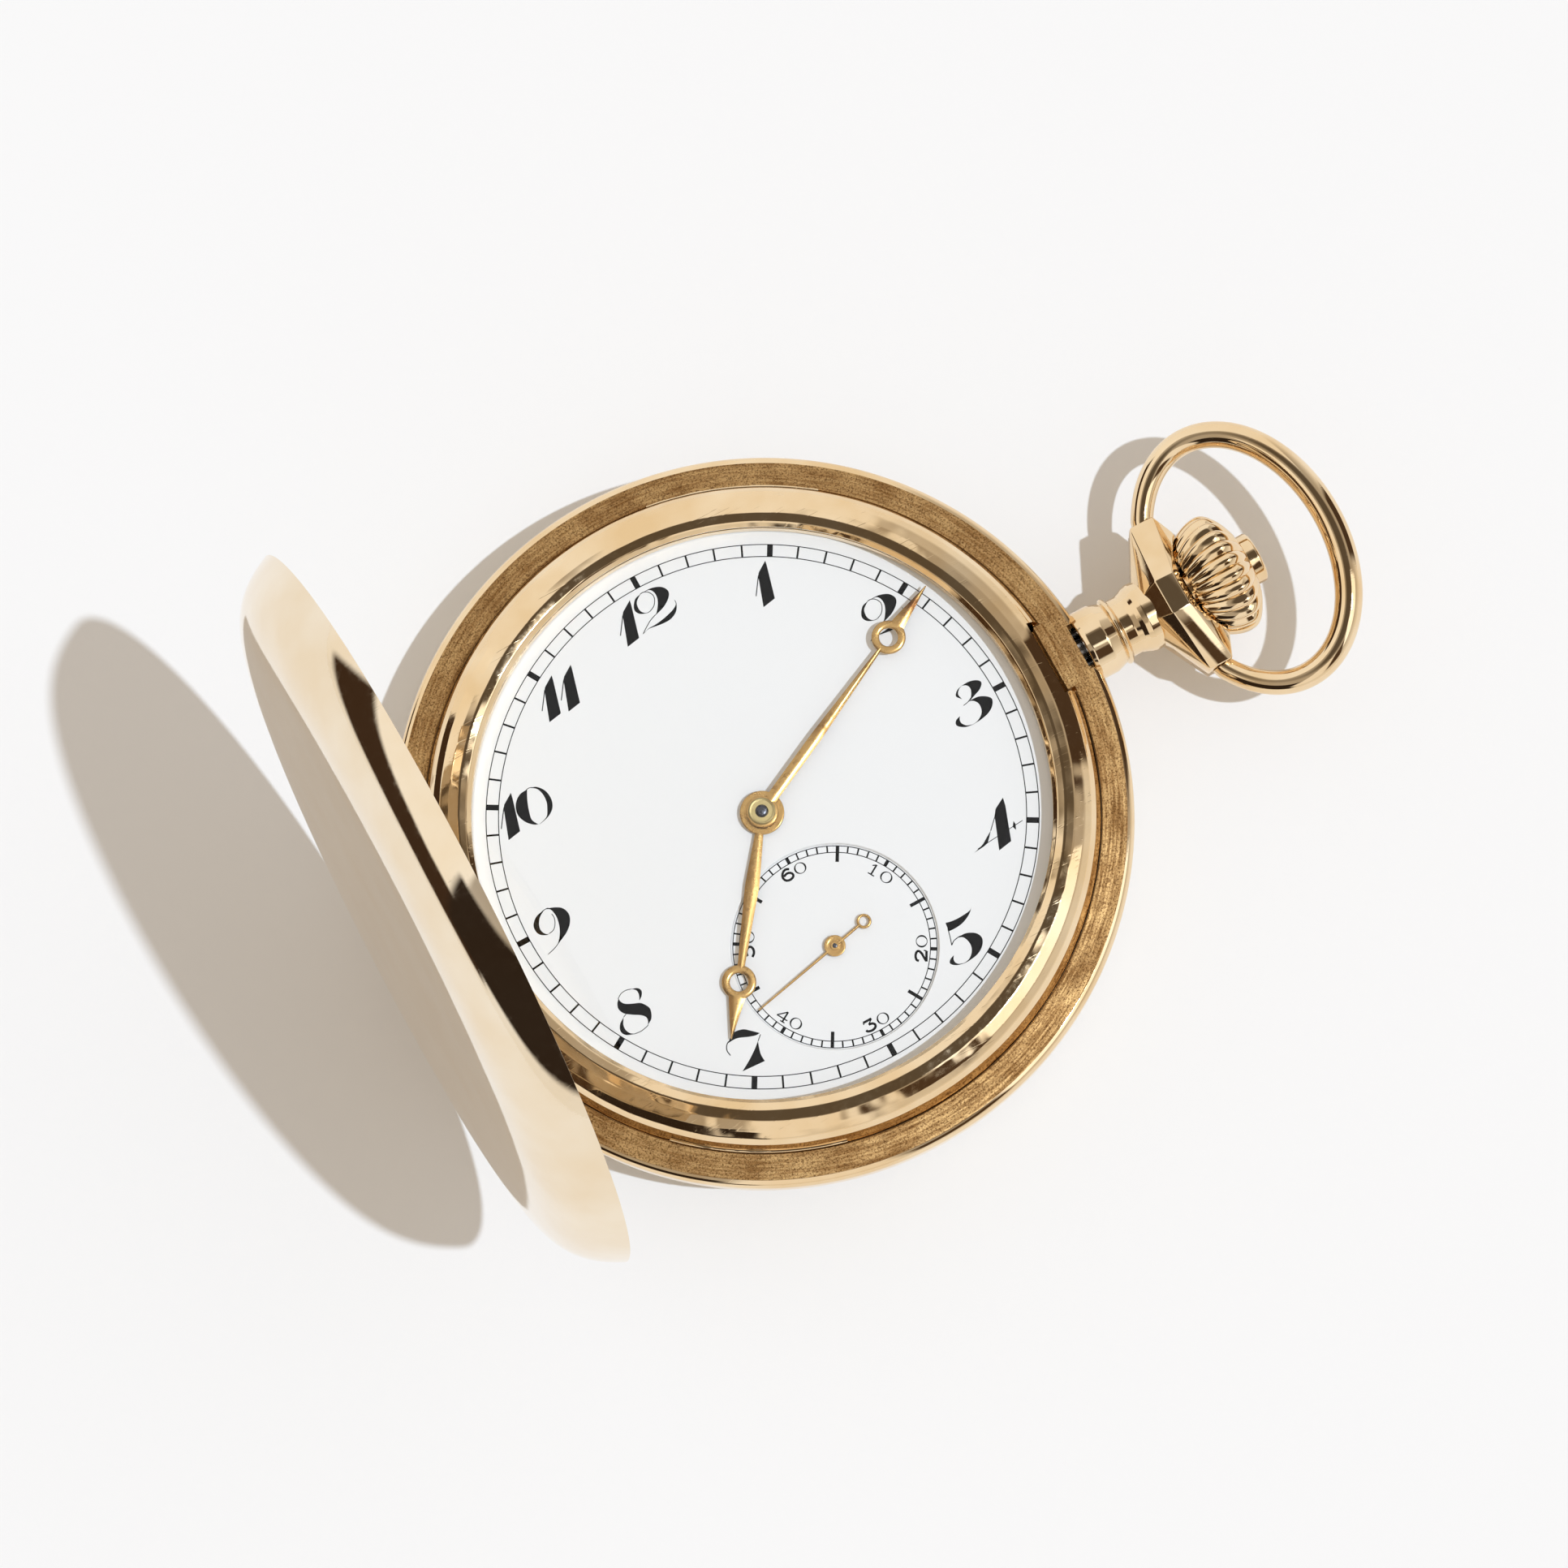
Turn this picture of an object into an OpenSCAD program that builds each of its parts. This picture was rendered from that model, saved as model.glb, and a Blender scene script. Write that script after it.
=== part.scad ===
// Full hunter pocket watch, lying on its back lid with the front lid open.
// +Z is up out of the dial, +X runs through the crown, +Y points to twelve.
// The origin is on the watch's axis, in the plane that the back lid rests on.

/* [Case band] */
// Outer diameter of the case band
case_d = 52; // [51:0.5:54]
// Height of the dial's face above the resting plane
dial_face_z = 8.3; // [8.2:0.1:9]
// Height of the band's outer edge
belt_h = 2.4; // [2:0.1:2.6]
// Fall of each lid seat from its inner to its outer edge
seat_fall = 0.45; // [0.3:0.05:0.6]
// Drop of the front seat's inner edge below the dial's face
seat_drop = 0.5; // [0.4:0.05:0.7]

/* [Lids] */
// Height of the front lid's middle above its rim
lid_depth = 4.1; // [4.1:0.05:4.4]
// Wall of the two lids
lid_wall = 0.4; // [0.35:0.05:0.4]
// Distance from the band's outer edge in to the lids' rims
lid_inset = 0.6; // [0.5:0.05:0.7]
// Opening angle at which the front lid stands
lid_open = 83.5; // [60:0.5:95]
// Wall of the inner dust cover
cuvette_wall = 0.35; // [0.3:0.05:0.4]

/* [Hinges] */
// Radius of the lids' hinge knuckles
knuckle_r = 0.65; // [0.6:0.05:0.7]
// Length of a lid's hinge
hinge_len = 11; // [9:0.5:12]
// Number of knuckles along a hinge
knuckle_count = 5; // [3:2:7]
// Radius of the hinge pins
pin_r = 0.3; // [0.25:0.05:0.35]
// Length of the dust cover's hinge
cuvette_hinge_len = 6; // [5:0.5:7]

/* [Pendant] */
// Radius of the neck's barrels
neck_r = 2.6; // [2.5:0.05:2.8]
// Radius of the neck's waist
waist_r = 2.2; // [2.15:0.05:2.3]
// Distance from the band's outer edge to the pendant head's back face
pendant_len = 7.9; // [7.5:0.1:8.5]
// Half width of the pendant head across the ears
ear_half_w = 5.8; // [5.6:0.1:6.2]
// Height of the pendant head at its middle
head_h = 6.4; // [6:0.1:6.8]

/* [Crown] */
// Largest radius of the ribbed crown
crown_r = 4.47; // [4.2:0.05:4.7]
// Length of the ribbed crown
crown_len = 4.5; // [4.2:0.1:4.8]
// Number of ribs round the crown
rib_count = 24; // [18:2:28]
// Depth of the valleys between ribs
rib_depth = 0.32; // [0.2:0.02:0.4]
// Radius of the push button in the crown
button_r = 1.87; // [1.7:0.05:1.95]
// Distance that the button stands out of the crown
button_out = 1.0; // [0.9:0.05:1.2]
// Travel of the button
button_travel = 0.7; // [0.4:0.05:0.75]
// Travel of the crown between winding and setting
crown_travel = 0.7; // [0.5:0.05:0.8]

/* [Bow] */
// Distance from the pivots to the middle of the bow's wire at the far end
bow_reach = 11.65; // [11.5:0.05:12.5]
// Half width of the bow along the middle of its wire
bow_half_w = 9.45; // [9:0.05:10]
// Wire radius at the far end
bow_wire_far = 1.0; // [0.9:0.05:1.1]
// Wire radius at the pivots
bow_wire_near = 0.8; // [0.75:0.05:0.85]
// Angle at which the bow stands above the neck's line
bow_tilt = 16; // [0:1:30]

/* [Glass and dial] */
// Width of the bezel, from its foot in to the opening that shows the dial
bezel_w = 3.45; // [3.35:0.05:3.55]
// Rise of the bezel's top edge above the dial's face
bezel_rise = 2.1; // [2.06:0.02:2.12]
// Thickness of the glass
glass_t = 0.5; // [0.45:0.05:0.55]
// Rise of the glass from its edge to its middle
glass_rise = 0.6; // [0.5:0.05:0.65]
// Thickness of the enamel dial
dial_t = 0.9; // [0.8:0.05:1]
// Distance from the dial's centre down to the seconds dial's centre
seconds_drop = 10.6; // [10.5:0.1:10.7]
// Radius of the seconds dial
seconds_r = 7.3; // [7.1:0.1:7.5]
// Depth to which the seconds dial is sunk
seconds_sink = 0.25; // [0.15:0.05:0.35]

/* [Hands] */
// Angle of the minute hand past twelve
minute_angle = 64; // [0:1:359]
// Angle of the hour hand past twelve
hour_angle = 216; // [0:1:359]
// Angle of the seconds hand past sixty
seconds_angle = 258; // [0:1:359]
// Gap between the minute hand's tip and the bezel's opening
minute_tip_gap = 0.5; // [0.3:0.1:1.5]
// Distance by which the hour hand is shorter than the minute hand
hour_short = 3.7; // [3:0.1:5]
// Length of the seconds hand
seconds_len = 6.9; // [6:0.1:7]
// Thickness of the hands
hand_t = 0.2; // [0.15:0.05:0.25]

/* [Movement] */
// Thickness of the main plate
plate_t = 2.4; // [2.3:0.05:2.5]
// Thickness of the bridges
bridge_t = 1.2; // [1.1:0.05:1.25]
// Room between the main plate and the bridges
train_room = 1.8; // [1.75:0.05:1.9]
// Depth of the recess under the dial
motion_room = 0.8; // [0.75:0.05:0.85]
// Height of the barrel
barrel_h = 1.4; // [1.3:0.05:1.4]
// Radius of the balance wheel
balance_r = 6.4; // [6:0.1:6.5]
// Turns of the hairspring
hairspring_turns = 5; // [4:1:6]
// Distance between neighbouring turns of the hairspring
hairspring_pitch = 0.55; // [0.5:0.01:0.58]
// Turns of the mainspring
mainspring_turns = 5; // [4:1:6]

/* [Gear teeth] */
// Tooth module of the barrel and the centre pinion
barrel_module = 0.2125; // [0.21:0.0005:0.215]
// Tooth module of the centre wheel and the third pinion
centre_module = 0.19; // [0.185:0.001:0.192]
// Tooth module of the third wheel and the fourth pinion
third_module = 0.165; // [0.162:0.001:0.168]
// Tooth module of the fourth wheel and the escape pinion
fourth_module = 0.15; // [0.147:0.001:0.152]
// Tooth module of the winding wheels
winding_module = 0.21; // [0.206:0.001:0.212]
// Tooth module of the motion work
motion_module = 0.2; // [0.195:0.001:0.205]

/* [Fits] */
// Radial clearance of a pin or a shaft in its bore
running = 0.03; // [0.02:0.01:0.05]
// Gap between faces that move past each other
side_gap = 0.06; // [0.04:0.01:0.08]
// Gap between a lid and its seat
seat_gap = 0.03; // [0.02:0.01:0.05]

/* [Hidden] */
$fn = 96;

gold = "#c9a063";
gilt = "#d8bd78";
steel = "#b9bcc2";
nickel = "#c4c2bb";

// Case heights and radii
case_r = case_d/2;
seat_top = dial_face_z - seat_drop;
seat_edge = seat_top - seat_fall;
back_edge = seat_edge - belt_h;
back_top = back_edge - seat_fall;
belt_mid = (seat_edge + back_edge)/2;
lid_r = case_r - lid_inset;
lid_crown = 0.3;
lid_bend = 14;
seat_in_r = case_r - 2.3;
seat_out_r = case_r - 0.5;
rim_in_r = seat_in_r + 0.02;
bezel_r = seat_in_r - 0.05;
sight_r = bezel_r - bezel_w;
dial_r = sight_r + 0.5;
nail_lip_angles = [52, -134];
nail_lip_sweep = 30;
hinge_x = case_r - 0.4;
hinge_z = seat_edge + 0.25;
back_hinge_z = back_edge - 0.2;

// Movement heights, from the dial down to the bridges
plate_top = dial_face_z - dial_t;
plate_bot = plate_top - plate_t;
motion_z = plate_top - motion_room;
bridge_in = plate_bot - train_room;
bridge_out = bridge_in - bridge_t;
winding_t = 0.4;
winding_z = bridge_out - winding_t;
stem_z = plate_bot + 0.85;

// Movement case fit
plate_r = sight_r + 1.2;
flange_t = 0.5;
flange_r = plate_r + 0.5;
case_bore_r = plate_r + 0.1;
shoulder_z = plate_top + 0.1;
groove_in_r = flange_r + 0.4;
groove_out_r = seat_in_r - 0.4;
groove_z = belt_mid - 0.55;
cuvette_r = seat_in_r - 0.85;
cuvette_seat_z = back_edge - 0.15;
cuvette_knuckle_r = 0.45;
cuvette_hinge_x = cuvette_r + 0.1;
cuvette_hinge_z = cuvette_seat_z - 0.35;

// Lock spring and lift spring in the band's groove
spring_t = 0.4;
spring_r = groove_out_r - 0.05 - spring_t/2;
catch_half_w = 2.5;
catch_r = groove_out_r - 0.35;
catch_bite = 0.13;
lock_screw_angle = -62;
lock_screw_r = spring_r - 0.25;
lock_screw_shank = 0.2;
lock_screw_head = 0.4;
lift_end_angle = 172;

// Screws that clamp the movement in the case
case_screw_angles = [120, 300];
case_screw_r = plate_r - 0.75;
case_shank_r = 0.45;
screw_head_r = 0.8;

// Pendant and crown stations along X
neck_x = case_r - 0.4;
head_end_x = case_r + pendant_len;
neck_bore_r = 1.8;
pivot_x = head_end_x - 0.2;
crown_x = head_end_x + 0.25;
crown_end_x = crown_x + crown_len;
button_x = crown_end_x + button_out;
bow_end_y = ear_half_w + side_gap;
bow_a = bow_reach/(1 + cos(asin(bow_end_y/bow_half_w)));
bow_centre_u = bow_reach - bow_a;
bow_end_turn = 180 - asin(bow_end_y/bow_half_w);
bow_stud_r = 0.45;

// Tooth counts of the trains
barrel_teeth = 80;
centre_leaves = 10;
centre_teeth = 64;
third_leaves = 8;
third_teeth = 60;
fourth_leaves = 8;
fourth_teeth = 60;
escape_leaves = 6;
escape_teeth = 15;
pinion_teeth = 12;
crown_wheel_teeth = 36;
ratchet_teeth = 54;
cannon_teeth = 12;
minute_teeth = 36;
minute_leaves = 10;
hour_teeth = 40;
setting_teeth = 22;

// Pitch radii
function pitch_r(teeth, m) = teeth*m/2;
function toward(p, d, a) = [p[0] + d*cos(a), p[1] + d*sin(a)];
function bearing(p, q) = atan2(q[1] - p[1], q[0] - p[0]);
function span(p, q) = norm([q[0] - p[0], q[1] - p[1]]);
// The third corner of a triangle over the side from p to q, on the side that the sign picks
function corner(p, q, dp, dq, side) = let (
    d = span(p, q),
    a = acos((dp*dp + d*d - dq*dq)/(2*dp*d))
) toward(p, dp, bearing(p, q) + side*a);
// The turn of a second gear that puts it in mesh with a first
function mesh_turn(n1, t1, a, n2) = a + 180 + ((a - t1)*n1/360 + 0.5)*360/n2;

centre_at = [0, 0];
fourth_at = [0, -seconds_drop];
centre_third = pitch_r(centre_teeth + third_leaves, centre_module);
third_fourth = pitch_r(third_teeth + fourth_leaves, third_module);
third_at = corner(centre_at, fourth_at, centre_third, third_fourth, 1);
fourth_escape = pitch_r(fourth_teeth + escape_leaves, fourth_module);
escape_at = toward(fourth_at, fourth_escape, 215);
barrel_centre = pitch_r(barrel_teeth + centre_leaves, barrel_module);
barrel_at = toward(centre_at, barrel_centre, 55);
winding_span = pitch_r(crown_wheel_teeth + ratchet_teeth, winding_module);
crown_wheel_r = pitch_r(crown_wheel_teeth, winding_module);
crown_wheel_at = [barrel_at[0] + sqrt(pow(winding_span, 2) - pow(barrel_at[1], 2)), 0];
winding_x = crown_wheel_at[0] + crown_wheel_r;
winding_r = pitch_r(pinion_teeth, winding_module);
balance_at = [-11.5, -7.5];
escape_r = 3.2;
pallet_at = toward(escape_at, 3.75, bearing(escape_at, balance_at));
minute_span = pitch_r(cannon_teeth + minute_teeth, motion_module);
minute_at = toward(centre_at, minute_span, 35);
hour_module = 2*minute_span/(minute_leaves + hour_teeth);
setting_span = pitch_r(minute_teeth + setting_teeth, motion_module);
setting_at = [minute_at[0] + sqrt(pow(setting_span, 2) - pow(minute_at[1], 2)), 0];
click_at = toward(barrel_at, 8.2, 128);
click_spring_at = toward(barrel_at, 9.7, 96);
pallet_line = bearing(escape_at, balance_at);
pallet_span = span(pallet_at, balance_at);

// Winding stem, the clutch on it and the button's sleeve round it, along X
stem_r = 0.8;
stem_bore_r = 0.4;
stem_round_r = 0.65;
stem_pivot_r = 0.35;
square_half = 0.4;
pinion_half = 0.65;
clutch_len = 1.7;
clutch_x = winding_x - pinion_half - 0.12 - clutch_len;
stem_tip_x = setting_at[0] + 0.9;
stem_end_x = crown_end_x - 2.2;
square_x = winding_x - 0.7;
lever_x = winding_x + 2.6;
sleeve_x = case_r + 1;
sleeve_len = 1.6;
sleeve_rod_r = 0.25;
sleeve_rod_y = stem_r + 0.45;
bar_x = sleeve_x + sleeve_len + 0.05;
bar_w = 0.5;
lever_z = stem_z + stem_r + 0.06;
lever_t = 0.28;
lever_pin = [lever_x, 0.3];
lever_pivot = [lever_x - 2.2, 3.9];
yoke_pivot = [clutch_x + 0.8, -5.2];

// Levels of the train
centre_z = bridge_in + 0.15;
third_z = plate_bot - 0.5;
fourth_z = bridge_in + 0.5;
escape_z = plate_bot - 0.3;
wheel_t = 0.22;
barrel_top = motion_z - 0.4;
barrel_z = barrel_top - barrel_h;
barrel_ring_r = pitch_r(barrel_teeth, barrel_module);
barrel_body_r = barrel_ring_r - 0.3;
barrel_wall = 0.2;
balance_z = bridge_in + 0.5;
balance_t = 0.45;
hairspring_z = bridge_in + 0.2;
hairspring_h = 0.15;
hairspring_t = 0.1;
hairspring_in = 0.8;
hairspring_out = hairspring_in + hairspring_turns*hairspring_pitch;
stud_angle = 112;
stud_r = 0.22;
stud_at = toward(balance_at, hairspring_out, stud_angle);
mainspring_t = 0.18;
mainspring_pitch = (barrel_body_r - barrel_wall - 3)/mainspring_turns;
cannon_z = motion_z + 0.05;
hour_z = plate_top - 0.35;
hour_tube_r = 0.95;
cannon_r = 0.6;
hour_hand_z = dial_face_z + 0.32;
minute_hand_z = hour_hand_z + hand_t + 0.25;
seconds_hand_z = dial_face_z + 0.02;
fourth_pipe_r = 0.2;
centre_post_r = 0.36;
crown_post_r = 0.6;
bridge_r = plate_r - 0.8;
bridge_foot_r = plate_r - 2.85;
foot_r = plate_r - 3.2;
minute_len = sight_r - minute_tip_gap;
hour_len = minute_len - hour_short;
foot_angles = [75, 195, 330];
jewel_r = 0.62;
jewel_t = 0.3;
jewel_bore = 0.14;
pivot_r = 0.11;
// Bearings that the plate holds: place, and radius of the boss under the dial
plate_bosses = [[fourth_at, 0.75], [third_at, 0.75], [escape_at, 0.7], [balance_at, 0.9], [pallet_at, 0.7]];
// Screws of the bridges and cocks: two for each bridge, one for each cock
screw_places = [[-8.6, 16.6], [15.6, 11.8], [18.2, -7.2], [3.5, -18.8], [-16.9, 3.2], [-9.2, -17.0]];

// Going-train mesh, each gear set from the one before
centre_to_third = bearing(centre_at, third_at);
third_to_fourth = bearing(third_at, fourth_at);
fourth_to_escape = bearing(fourth_at, escape_at);
barrel_to_centre = bearing(barrel_at, centre_at);
cannon_to_minute = bearing(centre_at, minute_at);
minute_to_setting = bearing(minute_at, setting_at);
crown_to_ratchet = bearing(crown_wheel_at, barrel_at);
crown_spur_turn = 0;
ratchet_turn = mesh_turn(crown_wheel_teeth, crown_spur_turn, crown_to_ratchet, ratchet_teeth);

// Points along an arc, from one angle to another
function arc(cx, cy, r, a0, a1, n) = [
    for (i = [0:n]) let (a = a0 + (a1 - a0)*i/n) [cx + r*cos(a), cy + r*sin(a)]
];

// A row of trapezium teeth: root and tip half widths are shares of the pitch
function gear_points(n, root, tip, turn) = [
    for (i = [0:n - 1])
        for (p = [[root, -0.23], [tip, -0.11], [tip, 0.11], [root, 0.23]])
            let (a = turn + 360/n*(i + p[1])) [p[0]*cos(a), p[0]*sin(a)]
];

// A flat gear of a given module, with a tooth pointing along its turn
module gear(n, m, h, turn) {
    r = pitch_r(n, m);
    linear_extrude(h) polygon(gear_points(n, r - 1.15*m, r + 0.9*m, turn));
}

// A gear crossed out to spokes, with its hub
module spoked_gear(n, m, h, turn, rim, hub, spokes) {
    r = pitch_r(n, m) - 1.15*m - rim;
    difference() {
        gear(n, m, h, turn);
        translate([0, 0, -1]) linear_extrude(h + 2) difference() {
            circle(r);
            circle(hub);
            for (i = [0:spokes - 1]) rotate(360/spokes*i) translate([0, -0.2]) square([r + 1, 0.4]);
        }
    }
}

module rod(r, z0, z1) {
    translate([0, 0, z0]) cylinder(r = r, h = z1 - z0);
}

module at(p, z = 0) {
    translate([p[0], p[1], z]) children();
}

// A shape drawn along +Z is laid along +X at the stem's height
module along_stem(x) {
    translate([x, 0, stem_z]) rotate([0, 90, 0]) children();
}

// A hinge's knuckles: part 0 takes the outer ones, part 1 the ones between
module knuckles(length, count, r, part, grow = 0) {
    step = length/count;
    for (i = [part:2:count - 1])
        translate([0, -length/2 + i*step - grow + side_gap/2, 0]) rotate([-90, 0, 0])
            cylinder(r = r + grow, h = step + 2*grow - side_gap);
}

module hinge_bore(length) {
    translate([0, -length/2 - 0.5, 0]) rotate([-90, 0, 0]) cylinder(r = pin_r + running, h = length + 1);
}

module hinge_pin(length) {
    translate([0, -length/2, 0]) rotate([-90, 0, 0]) cylinder(r = pin_r, h = length);
}

// Outline of the band's section, from its inner front edge round to its back
module band_section() {
    difference() {
        polygon(concat(
            [[flange_r + 0.05, shoulder_z], [seat_in_r, shoulder_z], [seat_in_r, seat_top]],
            [[seat_out_r, seat_edge]],
            arc(seat_out_r - 0.1, belt_mid + belt_h/2 - 0.6, 0.6, 75, 0, 5),
            arc(seat_out_r - 0.1, belt_mid - belt_h/2 + 0.6, 0.6, 0, -75, 5),
            [[seat_out_r, back_edge], [seat_in_r, back_top], [cuvette_r + 0.12, back_top]],
            [[cuvette_r + 0.12, cuvette_seat_z], [case_bore_r, cuvette_seat_z]],
            [[case_bore_r, plate_top - flange_t], [flange_r + 0.05, plate_top - flange_t]]
        ));
        translate([groove_in_r, groove_z]) square([groove_out_r - groove_in_r, shoulder_z]);
    }
}

// The neck's outline: a barrel, a ring, a waist and a second barrel
module neck_profile() {
    polygon(concat(
        [[0, 0], [neck_r - 0.15, 0], [neck_r, 0.35], [neck_r, 1.6], [waist_r + 0.12, 2.4]],
        arc(waist_r + 0.12, 2.65, 0.22, -80, 80, 6),
        [[waist_r, 2.95], [waist_r, 3.7], [waist_r + 0.15, 4.1], [neck_r - 0.1, 4.4], [neck_r, 4.75]],
        [[neck_r - 0.1, head_end_x - neck_x - 2.2], [0, head_end_x - neck_x - 2.2]]
    ));
}

// The pendant head: a faceted olive across the neck, drawn with the neck along +X
module pendant_head() {
    ear_w = 1.8;
    ear_h = 2.6;
    hull() {
        translate([-2.9, 0, 0]) rotate([0, 90, 0]) rotate(22.5) cylinder(r = neck_r - 0.25, h = 0.6, $fn = 8);
        translate([-1.6, -1.3, -head_h/2]) cube([1.4, 2.6, head_h]);
        translate([-1.0, -ear_half_w, -ear_h/2]) cube([ear_w, 2*ear_half_w, ear_h]);
        translate([-0.4, 1.7 - ear_half_w, -ear_h/2]) cube([1.9, 2*ear_half_w - 3.4, ear_h]);
    }
}

module case_band() {
    head_open = crown_r + 0.15;
    color(gold) difference() {
        union() {
            difference() {
                rotate_extrude($fn = 180) band_section();
                translate([-hinge_x, 0, hinge_z]) knuckles(hinge_len, knuckle_count, knuckle_r, 1, side_gap);
                translate([-hinge_x, 0, back_hinge_z])
                    knuckles(hinge_len, knuckle_count, knuckle_r, 1, side_gap);
                translate([-cuvette_hinge_x, 0, cuvette_hinge_z])
                    knuckles(cuvette_hinge_len, 3, cuvette_knuckle_r, 1, side_gap);
            }
            translate([-hinge_x, 0, hinge_z]) knuckles(hinge_len, knuckle_count, knuckle_r, 0);
            translate([-hinge_x, 0, back_hinge_z]) knuckles(hinge_len, knuckle_count, knuckle_r, 0);
            translate([-cuvette_hinge_x, 0, cuvette_hinge_z])
                knuckles(cuvette_hinge_len, 3, cuvette_knuckle_r, 0);
            along_stem(neck_x) rotate_extrude() neck_profile();
            translate([pivot_x - 0.1, 0, stem_z]) pendant_head();
        }
        translate([-hinge_x, 0, hinge_z]) hinge_bore(hinge_len);
        translate([-hinge_x, 0, back_hinge_z]) hinge_bore(hinge_len);
        translate([-cuvette_hinge_x, 0, cuvette_hinge_z]) hinge_bore(cuvette_hinge_len);
        // Bores for the stem, the push sleeve and its two rods, and the crown's room between the ears
        along_stem(case_bore_r - 0.5) cylinder(r = stem_r + running, h = 20);
        along_stem(sleeve_x - button_travel - 0.1) cylinder(r = neck_bore_r, h = 20);
        for (s = [-1, 1]) translate([0, s*sleeve_rod_y, 0]) along_stem(groove_in_r + 0.2)
            cylinder(r = sleeve_rod_r + running, h = 5);
        along_stem(head_end_x) cylinder(r1 = crown_r - 1.2, r2 = head_open, h = 2.2);
        // Holes for the bow's studs
        for (s = [-1, 1]) translate([pivot_x, s*(ear_half_w - 1.2), stem_z]) rotate([-90*s, 0, 0])
            cylinder(r = bow_stud_r + running, h = 3);
        // Pocket for the lock spring's plate and the slot of the lift spring's tip
        translate([groove_in_r, -catch_half_w - 0.3, stem_z - 0.7])
            cube([groove_out_r - groove_in_r, 2*catch_half_w + 0.6, 4]);
        rotate(lift_end_angle) translate([groove_out_r - 0.2, -0.6, seat_edge - 1]) cube([1.2, 1.2, 2]);
        // Half holes for the case screws' heads
        for (a = case_screw_angles) rotate(a) translate([case_bore_r - 0.1, 0, plate_bot - 0.5])
            cylinder(r = screw_head_r + 0.1, h = 0.5);
        rotate(lock_screw_angle) translate([lock_screw_r, 0, 0])
            rod(lock_screw_shank + running, groove_z - 0.6, groove_z + 0.4);
    }
}

// The front lid's outside: a wide shallow dome that turns down to the rim in one bend
function lid_rise(r) = (lid_depth - lid_crown)*(1 - pow(r/lid_r, lid_bend)) + lid_crown*(1 - pow(r/lid_r, 2));
function lid_slope(r) = ((lid_depth - lid_crown)*lid_bend*pow(r/lid_r, lid_bend - 1)
    + 2*lid_crown*r/lid_r)/lid_r;
// The same curve moved in by the wall
function lid_inside(r) = let (k = lid_wall/norm([1, lid_slope(r)])) [r - k*lid_slope(r), lid_rise(r) - k];

// The front lid closed on its seat, drawn dome up
module lid_shell() {
    steps = 26;
    rim_z = seat_edge + seat_gap;
    wall_end_r = lid_r - 0.88;
    outer = [for (i = [0:steps]) let (r = lid_r*sin(90*(1 - i/steps))) [r, rim_z + lid_rise(r)]];
    inner = [for (i = [0:steps]) let (r = wall_end_r*sin(90*i/steps), p = lid_inside(r)) [p[0], rim_z + p[1]]];
    rotate_extrude($fn = 180) polygon(concat(outer, inner,
        [[rim_in_r + 0.35, seat_top + 0.75], [rim_in_r + 0.35, seat_top + 0.6]],
        [[rim_in_r, seat_top + 0.5], [rim_in_r, seat_top + seat_gap]]
    ));
}

module front_lid_closed() {
    difference() {
        union() {
            difference() {
                lid_shell();
                translate([-hinge_x, 0, hinge_z]) knuckles(hinge_len, knuckle_count, knuckle_r, 0, side_gap);
            }
            translate([-hinge_x, 0, hinge_z]) knuckles(hinge_len, knuckle_count, knuckle_r, 1);
        }
        translate([-hinge_x, 0, hinge_z]) hinge_bore(hinge_len);
    }
}

module front_lid() {
    color(gold) translate([-hinge_x, 0, hinge_z]) rotate([0, -lid_open, 0])
        translate([hinge_x, 0, -hinge_z]) front_lid_closed();
}

module back_lid() {
    flat_r = lid_r - 12.9;
    mid_r = lid_r - 9.4;
    rise_r = lid_r - 5.4;
    turn_r = 2.4;
    turn_z = back_edge - 1.6;
    color(gold) difference() {
        union() {
            difference() {
                rotate_extrude($fn = 180) polygon(concat(
                    [[lid_r, back_edge - seat_gap], [lid_r, turn_z]],
                    arc(lid_r - turn_r, turn_z, turn_r, 0, -55, 8),
                    [[rise_r, 0.42], [mid_r, 0.16], [flat_r, 0], [0, 0], [0, lid_wall], [flat_r, lid_wall]],
                    [[mid_r, 0.16 + lid_wall], [rise_r, 0.42 + lid_wall]],
                    arc(lid_r - turn_r, turn_z, turn_r - lid_wall, -55, 0, 8),
                    [[lid_r - lid_wall, back_top - 1.0], [rim_in_r + 0.35, back_top - 0.85]],
                    [[rim_in_r, back_top - 0.4], [rim_in_r, back_top - seat_gap]]
                ));
                translate([-hinge_x, 0, back_hinge_z])
                    knuckles(hinge_len, knuckle_count, knuckle_r, 0, side_gap);
            }
            translate([-hinge_x, 0, back_hinge_z]) knuckles(hinge_len, knuckle_count, knuckle_r, 1);
        }
        translate([-hinge_x, 0, back_hinge_z]) hinge_bore(hinge_len);
    }
}

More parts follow.
